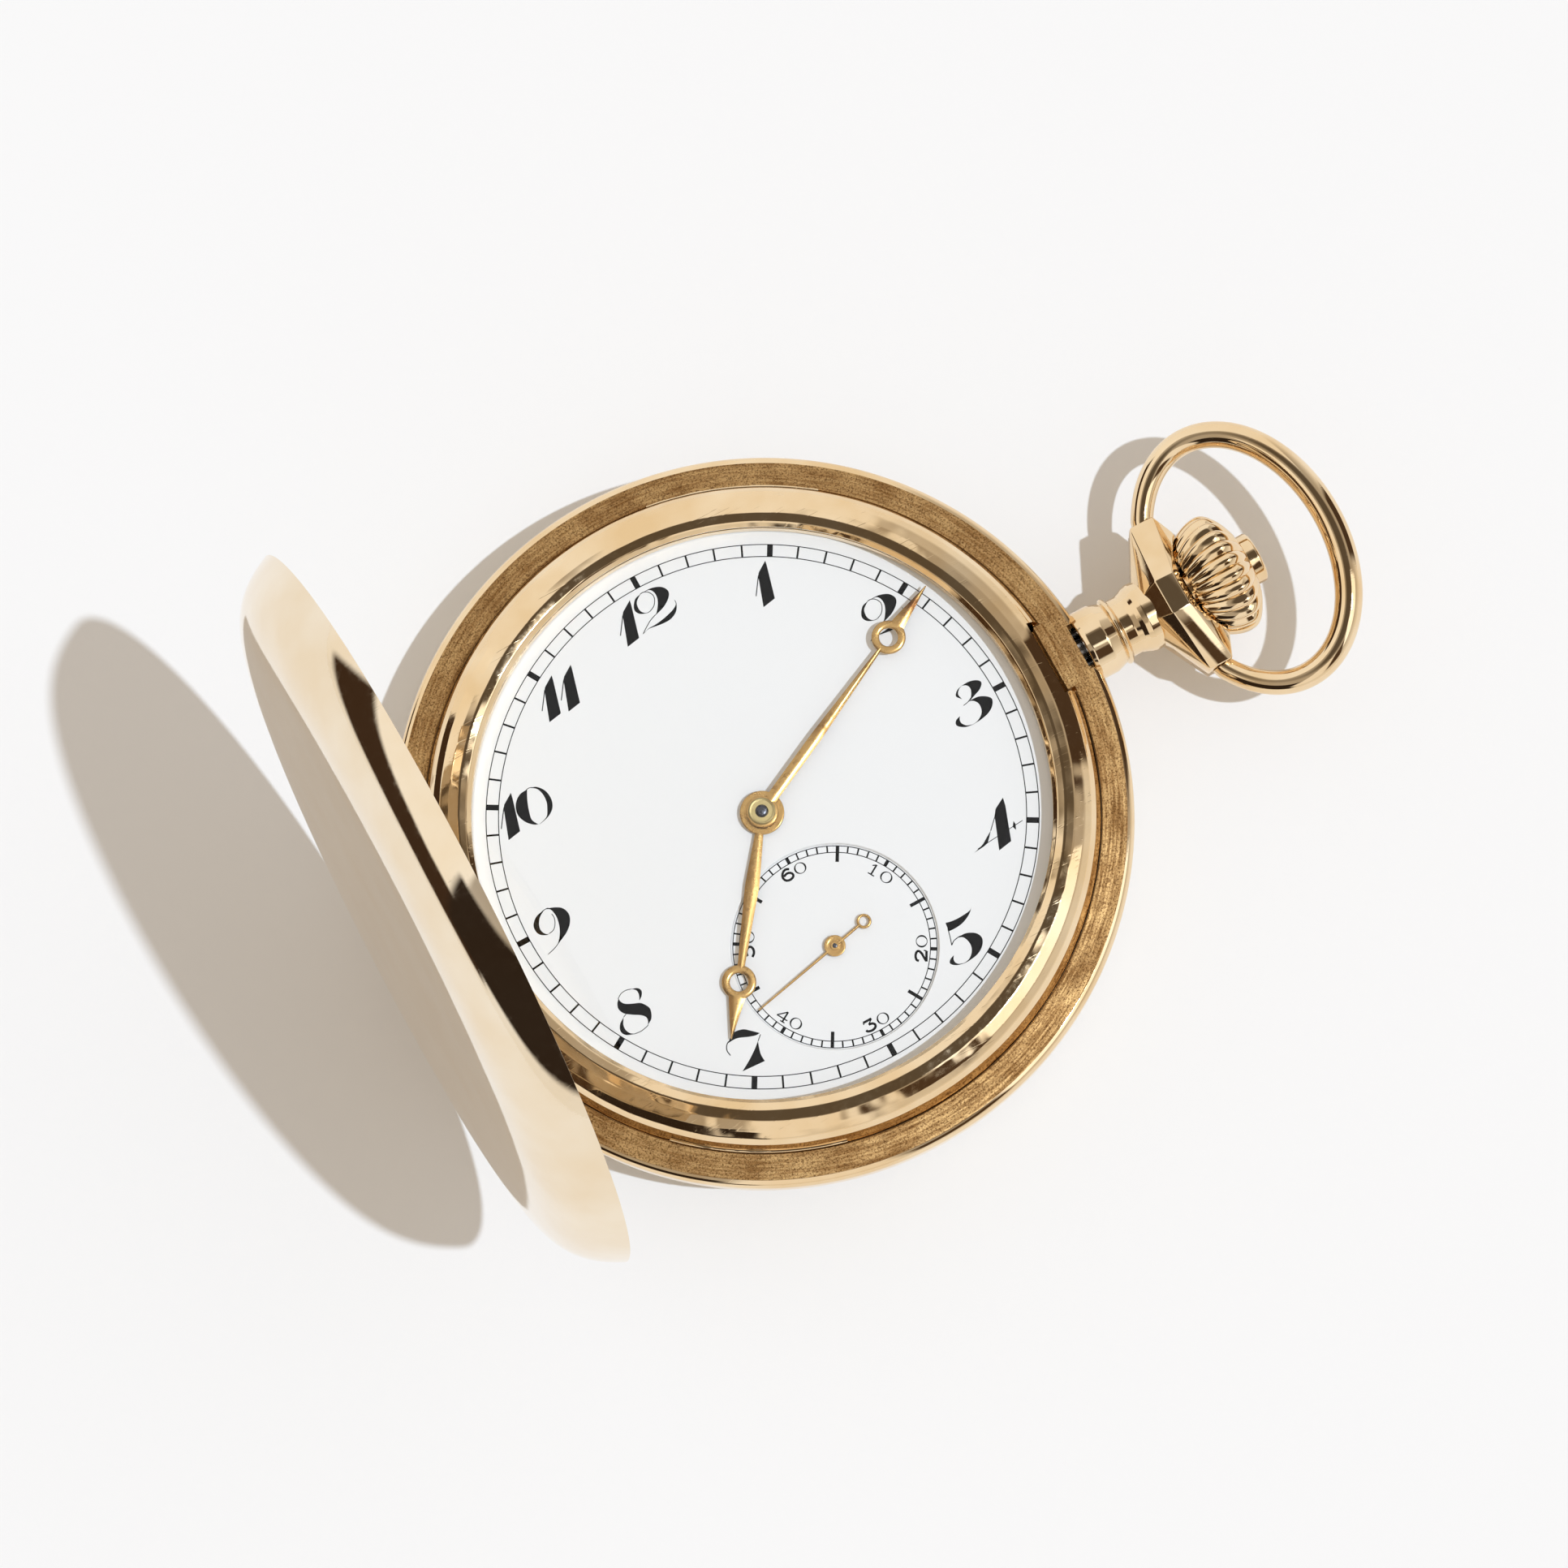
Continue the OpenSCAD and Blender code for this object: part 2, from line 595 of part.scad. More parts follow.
module cuvette() {
    floor_z = lid_wall + 0.2;
    mid_r = cuvette_r - 10.85;
    rise_r = cuvette_r - 4.85;
    turn_z = floor_z + 1.9;
    color(gold) difference() {
        union() {
            difference() {
                rotate_extrude($fn = 180) polygon(concat(
                    [[cuvette_r, cuvette_seat_z - seat_gap], [cuvette_r, turn_z]],
                    arc(cuvette_r - 1.1, turn_z, 1.1, 0, -70, 6),
                    [[rise_r, floor_z + 0.32], [mid_r, floor_z + 0.08], [0, floor_z]],
                    [[0, floor_z + cuvette_wall]],
                    [[mid_r, floor_z + 0.08 + cuvette_wall], [rise_r, floor_z + 0.32 + cuvette_wall]],
                    arc(cuvette_r - 1.1, turn_z, 1.1 - cuvette_wall, -70, 0, 6),
                    [[cuvette_r - cuvette_wall, cuvette_seat_z - seat_gap]]
                ));
                translate([-cuvette_hinge_x, 0, cuvette_hinge_z])
                    knuckles(cuvette_hinge_len, 3, cuvette_knuckle_r, 0, side_gap);
            }
            translate([-cuvette_hinge_x, 0, cuvette_hinge_z])
                knuckles(cuvette_hinge_len, 3, cuvette_knuckle_r, 1);
        }
        translate([-cuvette_hinge_x, 0, cuvette_hinge_z]) hinge_bore(cuvette_hinge_len);
    }
}

module front_hinge_pin() {
    color(gold) translate([-hinge_x, 0, hinge_z]) hinge_pin(hinge_len);
}

module back_hinge_pin() {
    color(gold) translate([-hinge_x, 0, back_hinge_z]) hinge_pin(hinge_len);
}

module cuvette_hinge_pin() {
    color(gold) translate([-cuvette_hinge_x, 0, cuvette_hinge_z]) hinge_pin(cuvette_hinge_len);
}

// The bezel's ring with the glass groove, a nail lip and the slot for the lock spring's catch
module bezel() {
    top = dial_face_z + bezel_rise;
    groove_z0 = top - 1.08;
    color(gold) difference() {
        union() {
            rotate_extrude($fn = 180) polygon(concat(
                [[flange_r + 0.15, shoulder_z], [flange_r + 0.15, dial_face_z + 0.15]],
                [[sight_r, dial_face_z + 0.15], [sight_r, groove_z0], [sight_r + 0.4, groove_z0]],
                [[sight_r + 0.4, groove_z0 + 0.5], [sight_r, groove_z0 + 0.5], [sight_r, top - 0.4]],
                [[sight_r + 0.88, top], [sight_r + 1.5, top - 0.1], [sight_r + 2.2, top - 0.38]],
                [[bezel_r - 0.75, top - 0.75], [bezel_r - 0.42, top - 1.15], [bezel_r - 0.15, top - 2.1]],
                [[bezel_r, top - 2.7], [bezel_r, shoulder_z]]
            ));
            for (a = nail_lip_angles) rotate(a) rotate_extrude(angle = nail_lip_sweep)
                translate([bezel_r - 0.4, shoulder_z + 0.1]) square([0.42, 0.65]);
        }
        translate([catch_r - 0.45, -catch_half_w - 0.3, shoulder_z - 1]) cube([3, 2*catch_half_w + 0.6, 6]);
    }
}

module crystal() {
    edge_r = sight_r + 0.37;
    edge_h = 0.42;
    inner_r = edge_r - 0.5;
    inner_rise = glass_rise + edge_h - glass_t;
    glass_z = dial_face_z + bezel_rise - 1.06;
    color("#dfe9f0", 0.3) translate([0, 0, glass_z]) rotate_extrude($fn = 120) polygon(concat(
        [for (p = dome_arc(edge_r, glass_rise)) [p[0], p[1] + edge_h]],
        [[edge_r, 0]],
        [for (i = [8:-1:0]) dome_arc(inner_r, inner_rise)[i]]
    ));
}

// Points of a shallow dome from its middle out to its edge, where its height is zero
function dome_arc(r, rise) = let (
    big = (r*r + rise*rise)/(2*rise)
) arc(0, rise - big, big, 90, 90 - asin(r/big), 8);

// The bow's wire: an ellipse of its middle line, thicker at the far end
function bow_line(t) = [bow_centre_u + bow_a*cos(t), bow_half_w*sin(t)];

module bow() {
    rings = 60;
    sides = 14;
    points = [for (i = [0:rings]) let (
        t = bow_end_turn*(2*i/rings - 1),
        c = bow_line(t),
        slope = atan2(bow_a*sin(t), bow_half_w*cos(t)),
        r = bow_wire_near + (bow_wire_far - bow_wire_near)*cos(90*(2*i/rings - 1)),
        a = i == 0 ? 180 : i == rings ? 180 : slope
    ) for (j = [0:sides - 1]) let (b = 360*j/sides)
        [c[0] + r*cos(b)*cos(a), c[1] + r*cos(b)*sin(a), r*sin(b)]];
    faces = concat(
        [for (i = [0:rings - 1]) for (j = [0:sides - 1]) let (k = (j + 1) % sides)
            [i*sides + j, i*sides + k, (i + 1)*sides + k, (i + 1)*sides + j]],
        [[for (j = [sides - 1:-1:0]) j], [for (j = [0:sides - 1]) rings*sides + j]]
    );
    color(gold) translate([pivot_x, 0, stem_z]) rotate([0, -bow_tilt, 0]) {
        polyhedron(points, faces);
        for (s = [-1, 1]) translate([0, s*(ear_half_w - 1.1), 0]) rotate([-90*s, 0, 0])
            cylinder(r = bow_stud_r, h = 1.6);
    }
}

// The ribbed crown: its outline turned round the stem, with the ribs as a wave round it
function crown_outline(s) = s < 0.62
    ? 3.0 + (crown_r - 3.0)*sin(90*pow(s/0.62, 0.9))
    : crown_r - (crown_r - 2.6)*pow((s - 0.62)/0.38, 2.2);
function rib_share(s) = s < 0.05 ? 0.6 : s > 0.97 ? 0.5 : 1;

module crown() {
    rings = 16;
    sides = rib_count*6;
    points = concat(
        [for (i = [0:rings]) let (s = i/rings, r = crown_outline(s)) for (j = [0:sides - 1]) let (
            b = 360*j/sides,
            d = rib_depth*rib_share(s)*(1 - abs(cos(rib_count*b/2)))
        ) [(r - d)*cos(b), (r - d)*sin(b), crown_len*s]],
        [[0, 0, 0], [0, 0, crown_len]]
    );
    last = (rings + 1)*sides;
    faces = concat(
        [for (i = [0:rings - 1]) for (j = [0:sides - 1]) let (k = (j + 1) % sides)
            [i*sides + j, (i + 1)*sides + j, (i + 1)*sides + k, i*sides + k]],
        [for (j = [0:sides - 1]) [last, j, (j + 1) % sides]],
        [for (j = [0:sides - 1]) [last + 1, rings*sides + (j + 1) % sides, rings*sides + j]]
    );
    color(gold) difference() {
        union() {
            along_stem(crown_x) polyhedron(points, faces);
            along_stem(crown_x - 1.6) cylinder(r = neck_bore_r - running, h = 2);
        }
        along_stem(crown_x - 2) cylinder(r = stem_r, h = stem_end_x - crown_x + 2);
        along_stem(crown_x - 2) cylinder(r = stem_bore_r, h = crown_len + 3);
        along_stem(crown_end_x - button_travel - 0.5) cylinder(r = button_r + running + 0.02, h = 3);
    }
}

// The stem: a hollow shank with a slot for the button's cross bar, a round for the winding pinion,
// a groove for the setting lever, a square for the sliding pinion and a pivot
module winding_stem() {
    color(steel) difference() {
        union() {
            along_stem(stem_tip_x) cylinder(r = stem_pivot_r, h = clutch_x - stem_tip_x);
            translate([clutch_x - 0.6, -square_half, stem_z - square_half])
                cube([square_x - clutch_x + 0.7, 2*square_half, 2*square_half]);
            along_stem(square_x) cylinder(r = stem_round_r, h = lever_x - square_x - 0.3);
            along_stem(square_x + 1.6) cylinder(r = stem_r, h = lever_x - square_x - 2.1);
            along_stem(lever_x - 0.6) cylinder(r = 0.5, h = 1.2);
            along_stem(lever_x + 0.5) cylinder(r = stem_r, h = stem_end_x - lever_x - 0.5);
        }
        along_stem(sleeve_x - button_travel - 0.4) cylinder(r = stem_bore_r, h = 20);
        translate([bar_x - button_travel - 0.1, -bar_w/2 - running, stem_z - 2])
            cube([bar_w + button_travel + 0.2, bar_w + 2*running, 4]);
    }
}

module winding_pinion() {
    color(steel) difference() {
        along_stem(winding_x - pinion_half) rotate([0, 0, 180])
            gear(pinion_teeth, winding_module, 2*pinion_half, 0);
        along_stem(winding_x - 1) cylinder(r = stem_round_r + running, h = 3);
    }
}

module sliding_pinion() {
    color(steel) difference() {
        union() {
            along_stem(clutch_x) gear(pinion_teeth, 0.2, 0.5, 0);
            along_stem(clutch_x + 0.5) cylinder(r = 0.8, h = 0.6);
            along_stem(clutch_x + 1.1) cylinder(r = 1.2, h = clutch_len - 1.1);
        }
        translate([clutch_x - 1, -square_half - running, stem_z - square_half - running])
            cube([clutch_len + 2, 2*(square_half + running), 2*(square_half + running)]);
    }
}

// The button's cap, with a rod down the stem to a cross bar that pushes the sleeve
module crown_button() {
    color(gold) union() {
        along_stem(crown_end_x - 0.35) cylinder(r = button_r, h = button_out + 0.25);
        along_stem(button_x - 0.1) cylinder(r1 = button_r, r2 = button_r - 0.2, h = 0.1);
        along_stem(bar_x) cylinder(r = stem_bore_r - running, h = crown_end_x - bar_x);
        translate([bar_x, -bar_w/2, stem_z - neck_bore_r + 0.3]) cube([bar_w, bar_w, 2*neck_bore_r - 0.6]);
    }
}

// The sleeve slides in the neck, and its two rods reach through the band to the lock spring
module push_sleeve() {
    color(steel) union() {
        difference() {
            along_stem(sleeve_x) cylinder(r = neck_bore_r - running, h = sleeve_len);
            along_stem(sleeve_x - 1) cylinder(r = stem_r + running, h = sleeve_len + 2);
        }
        for (s = [-1, 1]) translate([0, s*sleeve_rod_y, 0])
            along_stem(groove_out_r + 0.36) cylinder(r = sleeve_rod_r, h = sleeve_x - groove_out_r - 0.3);
    }
}

// The lock spring: a curved strip from its screw to a forked plate round the stem, with the catch above
module lock_spring() {
    strip_z = groove_z + 0.25;
    strip_h = shoulder_z - 0.15 - strip_z;
    eye_r = 0.42;
    eye_h = 0.5;
    plate_z = stem_z - 0.55;
    hook_z = seat_top + 0.6;
    hook_h = 0.3;
    fork_r = stem_r + 0.2;
    color(steel) difference() {
        union() {
            rotate(lock_screw_angle) rotate_extrude(angle = -lock_screw_angle - 5)
                translate([spring_r - spring_t/2, strip_z]) square([spring_t, strip_h]);
            rotate(lock_screw_angle) translate([lock_screw_r, 0, 0]) rod(eye_r, strip_z, strip_z + eye_h);
            translate([spring_r - spring_t/2, -catch_half_w, plate_z])
                cube([spring_t, 2*catch_half_w, shoulder_z - 0.1 - plate_z]);
            translate([catch_r, -catch_half_w, shoulder_z - 0.3])
                cube([hook_h, 2*catch_half_w, hook_z + hook_h - shoulder_z + 0.3]);
            translate([catch_r, -catch_half_w, hook_z])
                cube([rim_in_r + catch_bite - catch_r, 2*catch_half_w, hook_h]);
        }
        along_stem(spring_r - 1) cylinder(r = fork_r, h = 2);
        translate([spring_r - 1, -fork_r, stem_z - 3]) cube([2, 2*fork_r, 3]);
        rotate(lock_screw_angle) translate([lock_screw_r, 0, 0]) {
            rod(lock_screw_shank + running, 0, 20);
            rod(lock_screw_head + 0.1, strip_z + eye_h, 20);
        }
    }
}

module lock_spring_screw() {
    head_z = groove_z + 0.8;
    color(steel) rotate(lock_screw_angle) translate([lock_screw_r, 0, 0]) {
        rod(lock_screw_shank, groove_z - 0.55, head_z);
        rod(lock_screw_head, head_z, head_z + 0.3);
    }
}

// The lift spring: a strip in the same groove whose tip comes up under the front lid's rim
module lift_spring() {
    strip_z = groove_z;
    start = 112;
    color(steel) union() {
        rotate(start) rotate_extrude(angle = lift_end_angle - start)
            translate([spring_r - spring_t/2, strip_z]) square([spring_t, shoulder_z - strip_z - 0.1]);
        rotate(lift_end_angle) translate([spring_r - spring_t/2, -0.45, seat_edge - 0.9])
            cube([groove_out_r + 0.85 - spring_r, 0.9, 0.8]);
    }
}

module case_screws() {
    color(steel) for (a = case_screw_angles) rotate(a) translate([case_screw_r, 0, 0]) difference() {
        union() {
            rod(case_shank_r, plate_bot, plate_bot + 1.2);
            rod(screw_head_r, plate_bot - 0.35, plate_bot);
        }
        translate([-1, -0.1, plate_bot - 0.45]) cube([2, 0.2, 0.25]);
    }
}

module main_plate() {
    color(gilt) difference() {
        union() {
            rod(plate_r, plate_bot, plate_top);
            rod(flange_r, plate_top - flange_t, plate_top);
            at(crown_wheel_at) rod(crown_post_r, winding_z + 0.02, plate_bot + 0.1);
        }
        at(crown_wheel_at) rod(0.3, winding_z - 1, plate_bot - 0.4);
        // Recess under the dial, with a rim that carries the dial
        difference() {
            rod(plate_r - 4, motion_z, plate_top + 1);
            for (b = plate_bosses) at(b[0]) rod(b[1] + 0.5, motion_z - 1, plate_top - 0.1);
        }
        // Barrel recess, opened toward the centre pinion
        at(barrel_at) rod(barrel_ring_r + 0.35, plate_bot - 1, barrel_top + 0.1);
        rod(1.35, plate_bot - 1, plate_bot + 0.35);
        // Room for the keyless work along the stem
        translate([clutch_x - 0.7, -1.65, plate_bot - 1]) cube([winding_x + 0.8 - clutch_x + 0.7, 3.3, 5]);
        along_stem(stem_tip_x - 0.3) cylinder(r = stem_pivot_r + running, h = 3);
        along_stem(lever_x - 1.8) cylinder(r = stem_r + running, h = 8);
        translate([lever_x - 1.8, -stem_r - running, plate_bot - 1])
            cube([8, 2*(stem_r + running), stem_z - plate_bot + 1]);
        translate([lever_x - 0.9, -0.6, stem_z]) cube([crown_travel + 1.6, 3, 4]);
        // Bearings of the train, the balance and the pallet fork
        rod(0.35 + running, plate_bot - 1, plate_top + 1);
        at(barrel_at) rod(0.5 + running, plate_bot - 1, motion_z + 1);
        at(fourth_at) rod(0.3 + running, plate_bot - 1, plate_top + 1);
        for (p = [third_at, escape_at, pallet_at, balance_at]) at(p) {
            rod(jewel_r, plate_bot - 0.01, plate_bot + jewel_t);
            rod(0.25, plate_bot - 1, plate_bot + 0.8);
        }
        at(fourth_at) rod(jewel_r, plate_bot - 0.01, plate_bot + jewel_t);
        at(minute_at) rod(0.3, motion_z - 0.2, motion_z + 1);
        at(setting_at) rod(0.25, motion_z - 0.2, motion_z + 1);
        for (a = foot_angles) rotate(a) translate([foot_r, 0, 0]) rod(0.5, plate_bot + 0.6, plate_top + 1);
        for (a = case_screw_angles) rotate(a) translate([case_screw_r, 0, 0])
            rod(case_shank_r, plate_bot - 1, plate_bot + 1.2);
        for (s = screw_places) at(s) rod(0.4, plate_bot - 0.5, plate_bot + 0.9);
        at(lever_pivot) rod(0.3, motion_z - 0.3, plate_top);
        at(yoke_pivot) rod(0.3, motion_z - 0.3, plate_top);
    }
}

// Plan of the barrel bridge: the upper part of the movement, down past the crown wheel
module barrel_bridge_plan() {
    intersection() {
        circle(bridge_r);
        polygon([[-13, 9.3], [-2.4, 2.6], [2.2, 2.4], [5.6, -0.6], [6.9, -6.2], [24, -6.2],
            [24, 24], [-13, 24]]);
    }
}

module train_bridge_plan() {
    intersection() {
        circle(bridge_r);
        polygon([[-2.5, 2.3], [2.05, 2.1], [5.3, -0.8], [6.6, -6.5], [24, -6.5], [24, -24], [-4.2, -24],
            [-6.1, -16.4], [-5.4, -11.6], [-3.6, -8.6], [-3.2, -3]]);
    }
}

module balance_cock_plan() {
    union() {
        at(balance_at) circle(2.3);
        polygon([[-13.6, -8.2], [-9.5, -6.4], [-12.2, 0.2], [-12, 3.6], [-13.6, 6.2], [-19.6, 5.8],
            [-20.4, 1], [-19.4, -1.2], [-15.8, -1.2]]);
    }
}

// A bridge: its plan above the train, and its foot in the given ring down to the plate
module bridge_body(foot_in) {
    translate([0, 0, bridge_out]) linear_extrude(bridge_t) children(0);
    translate([0, 0, bridge_in - 0.1]) linear_extrude(train_room + 0.1) intersection() {
        children(0);
        difference() {
            circle(bridge_r);
            circle(foot_in);
        }
    }
}

module case_screw_room() {
    for (a = case_screw_angles) rotate(a) translate([case_screw_r, 0, 0])
        rod(screw_head_r + 0.12, bridge_out - 1, plate_bot + 0.01);
}

module screw_holes(places) {
    for (s = places) at(s) {
        rod(0.4, bridge_out - 1, plate_bot + 1);
        rod(0.85, bridge_out - 1, bridge_out + 0.4);
    }
}

module barrel_bridge() {
    color(nickel) difference() {
        bridge_body(bridge_foot_r) barrel_bridge_plan();
        screw_holes([screw_places[0], screw_places[1]]);
        case_screw_room();
        at(barrel_at) rod(1.3 + running, bridge_out - 1, bridge_in + 1);
        at(crown_wheel_at) rod(crown_wheel_r + 0.35, bridge_out - 1, bridge_in + 1.5);
        at(click_at) rod(0.3, bridge_out - 1, bridge_out + 0.6);
        at(click_spring_at) rod(0.3, bridge_out - 1, bridge_out + 0.6);
    }
}

module train_bridge() {
    color(nickel) difference() {
        bridge_body(bridge_foot_r) train_bridge_plan();
        screw_holes([screw_places[2], screw_places[3]]);
        case_screw_room();
        rod(0.3 + running, bridge_out - 1, bridge_in + 1);
        for (p = [third_at, fourth_at, escape_at]) at(p) {
            rod(jewel_r, bridge_out - 0.01, bridge_out + jewel_t);
            rod(0.25, bridge_out - 1, bridge_in + 1);
        }
    }
}

module balance_cock() {
    color(nickel) difference() {
        union() {
            translate([0, 0, bridge_out]) linear_extrude(bridge_t) balance_cock_plan();
            translate([0, 0, bridge_in - 0.1]) linear_extrude(train_room + 0.1) intersection() {
                balance_cock_plan();
                translate([-24, -0.7]) square([14, 8]);
            }
        }
        screw_holes([screw_places[4]]);
        at(balance_at) {
            rod(jewel_r, bridge_out - 0.01, bridge_out + jewel_t);
            rod(0.25, bridge_out - 1, bridge_in + 1);
        }
        at(stud_at) rod(stud_r + 0.02, bridge_in - 0.7, bridge_in + 1);
    }
}

module pallet_cock() {
    foot = screw_places[5];
    line = bearing(pallet_at, foot);
    low = plate_bot - 0.7;
    color(nickel) difference() {
        union() {
            translate([0, 0, low]) linear_extrude(0.3) union() {
                at(pallet_at) circle(0.9);
                at(foot) circle(1.5);
                polygon([toward(pallet_at, 0.8, line + 90), toward(foot, 1.3, line + 90),
                    toward(foot, 1.3, line - 90), toward(pallet_at, 0.8, line - 90)]);
            }
            at(foot) rod(1.5, low, plate_bot);
        }
        at(foot) rod(0.4, low - 1, plate_bot + 1);
        at(foot) rod(0.72, low - 1, low + 0.12);
        at(pallet_at) rod(pivot_r + running, low - 1, plate_bot);
    }
}

module dial() {
    color("white") difference() {
        rod(dial_r, plate_top, dial_face_z);
        rod(1.2, plate_top - 1, dial_face_z + 1);
        at(fourth_at) rod(seconds_r, plate_top - 1, dial_face_z + 1);
    }
}

module seconds_dial() {
    color("white") difference() {
        at(fourth_at) {
            rod(seconds_r, plate_top, dial_face_z - seconds_sink);
        }
        at(fourth_at) rod(0.4, plate_top - 1, dial_face_z + 1);
    }
}

module dial_feet() {
    color("#b87333") for (a = foot_angles) rotate(a) translate([foot_r, 0, 0])
        rod(0.5 - running, plate_bot + 0.9, plate_top);
}

// A hand's outline along +Y: boss, swelling blade, open ring and pointed tip
module hand_plan(boss, ring_at, ring_out, ring_in, w0, w1, w2, tip, tip_w) {
    difference() {
        union() {
            circle(boss);
            polygon([[-w0, 0], [w0, 0], [w0, boss], [w1, ring_at*0.42], [w2, ring_at - ring_out*0.8],
                [-w2, ring_at - ring_out*0.8], [-w1, ring_at*0.42], [-w0, boss]]);
            at([0, ring_at]) circle(ring_out);
            polygon([[-tip_w, ring_at + ring_out*0.75], [tip_w, ring_at + ring_out*0.75],
                [0.04, tip], [-0.04, tip]]);
        }
        at([0, ring_at]) circle(ring_in);
    }
}

module hour_hand() {
    color(gilt) difference() {
        rotate(-hour_angle) translate([0, 0, hour_hand_z]) linear_extrude(hand_t)
            hand_plan(1.55, hour_len - 4, 1.2, 0.64, 0.25, 0.5, 0.24, hour_len, 0.66);
        rod(hour_tube_r, hour_hand_z - 1, hour_hand_z + 1);
    }
}

module minute_hand() {
    color(gilt) difference() {
        union() {
            rotate(-minute_angle) translate([0, 0, minute_hand_z]) linear_extrude(hand_t)
                hand_plan(1.15, minute_len - 4.5, 1.2, 0.66, 0.4, 0.4, 0.13, minute_len, 0.56);
            rod(1.0, minute_hand_z - 0.2, minute_hand_z + 0.01);
        }
        rod(cannon_r, minute_hand_z - 1, minute_hand_z + 1);
    }
}

module seconds_hand() {
    tail = 2.65;
    color(gilt) at(fourth_at, seconds_hand_z) rotate(-seconds_angle) difference() {
        linear_extrude(hand_t*0.75) difference() {
            union() {
                circle(0.75);
                polygon([[-0.1, -tail + 0.45], [0.1, -tail + 0.45],
                    [0.06, seconds_len], [-0.06, seconds_len]]);
                at([0, -tail]) circle(0.52);
            }
            at([0, -tail]) circle(0.32);
        }
        rod(fourth_pipe_r, -1, 1);
    }
}

// The cannon pinion with its domed end above the minute hand
module cannon_pinion() {
    color(steel) difference() {
        union() {
            translate([0, 0, cannon_z]) gear(cannon_teeth, motion_module, 0.35, cannon_to_minute);
            rod(cannon_r, cannon_z, minute_hand_z + hand_t + 0.12);
        }
        rod(centre_post_r, cannon_z - 1, minute_hand_z + 1.5);
    }
}

module hour_wheel() {
    turn = mesh_turn(minute_leaves, 0, cannon_to_minute + 180, hour_teeth);
    color(gilt) difference() {
        union() {
            translate([0, 0, hour_z]) gear(hour_teeth, hour_module, 0.22, turn);
            rod(hour_tube_r, hour_z, hour_hand_z + hand_t);
        }
        rod(cannon_r + running, hour_z - 1, hour_hand_z + 1);
    }
}

module minute_wheel() {
    turn = mesh_turn(cannon_teeth, cannon_to_minute, cannon_to_minute, minute_teeth);
    color(gilt) at(minute_at) difference() {
        union() {
            translate([0, 0, cannon_z + 0.1]) gear(minute_teeth, motion_module, wheel_t, turn);
            translate([0, 0, cannon_z + 0.1])
                gear(minute_leaves, hour_module, plate_top - cannon_z - 0.15, 0);
        }
        rod(0.3 + running, cannon_z - 1, plate_top + 1);
    }
}

module setting_wheel() {
    minute_turn = mesh_turn(cannon_teeth, cannon_to_minute, cannon_to_minute, minute_teeth);
    turn = mesh_turn(minute_teeth, minute_turn, minute_to_setting, setting_teeth);
    color(steel) at(setting_at) difference() {
        translate([0, 0, cannon_z + 0.05]) gear(setting_teeth, motion_module, 0.3, turn);
        rod(0.25 + running, cannon_z - 1, plate_top);
    }
}

// The setting lever: its pin drops into the stem's groove
module setting_lever() {
    color(steel) union() {
        translate([0, 0, lever_z]) linear_extrude(lever_t) union() {
            at(lever_pivot) circle(0.9);
            at(lever_pin) circle(0.42);
            polygon([toward(lever_pivot, 0.8, 40), toward(lever_pin, 0.42, 40), toward(lever_pin, 0.42, 200),
                toward(lever_pivot, 0.9, 220)]);
        }
        at(lever_pin) rod(0.26, stem_z + 0.6, lever_z + 0.1);
        at(lever_pivot) rod(0.3 - running, motion_z - 0.3, lever_z + lever_t + 0.06);
    }
}

// The yoke: its tip rides in the sliding pinion's groove
module yoke() {
    tip_x = clutch_x + 0.8;
    color(steel) union() {
        translate([0, 0, lever_z]) linear_extrude(lever_t) union() {
            at(yoke_pivot) circle(0.9);
            polygon([toward(yoke_pivot, 0.7, 180), toward(yoke_pivot, 0.7, 0),
                [tip_x + 0.22, -1.6], [tip_x - 0.22, -1.6]]);
        }
        translate([tip_x - 0.22, -1.65, stem_z]) cube([0.44, 0.65, lever_z + 0.1 - stem_z]);
        at(yoke_pivot) rod(0.3 - running, motion_z - 0.3, lever_z + lever_t + 0.06);
    }
}

// The barrel drum opens toward the bridge, where its cover snaps in
module barrel_drum() {
    turn = barrel_to_centre;
    color(gilt) at(barrel_at) difference() {
        union() {
            rod(barrel_body_r, barrel_z + 0.05, barrel_top);
            translate([0, 0, barrel_z + 0.05]) gear(barrel_teeth, barrel_module, 0.4, turn);
        }
        rod(barrel_body_r - barrel_wall, barrel_z - 1, barrel_top - barrel_wall);
        rod(0.5 + running, barrel_z - 1, barrel_top + 1);
    }
}

module barrel_cover() {
    color(gilt) at(barrel_at) difference() {
        rod(barrel_body_r - barrel_wall - 0.01, barrel_z + 0.05, barrel_z + 0.05 + barrel_wall);
        rod(0.6 + running, barrel_z - 1, barrel_top + 1);
    }
}

module barrel_arbor() {
    core_z0 = barrel_z + 0.05 + barrel_wall + side_gap;
    color(steel) at(barrel_at) union() {
        rod(0.5, barrel_top - barrel_wall - side_gap - 0.1, barrel_top + 0.25);
        rod(2.2, core_z0, barrel_top - barrel_wall - side_gap);
        rod(0.6, bridge_in, core_z0 + 0.1);
        rod(1.3, bridge_out + 0.1, bridge_in + 0.05);
        translate([-0.7, -0.7, winding_z]) cube([1.4, 1.4, winding_t + 0.2]);
    }
}

// A flat spiral strip as an even-sided outline: out along one side and back along the other
function spiral(r0, pitch, turns, t, n) = concat(
    [for (i = [0:n*turns]) let (a = 360*i/n, r = r0 + pitch*i/n - t/2) [r*cos(a), r*sin(a)]],
    [for (i = [n*turns:-1:0]) let (a = 360*i/n, r = r0 + pitch*i/n + t/2) [r*cos(a), r*sin(a)]]
);

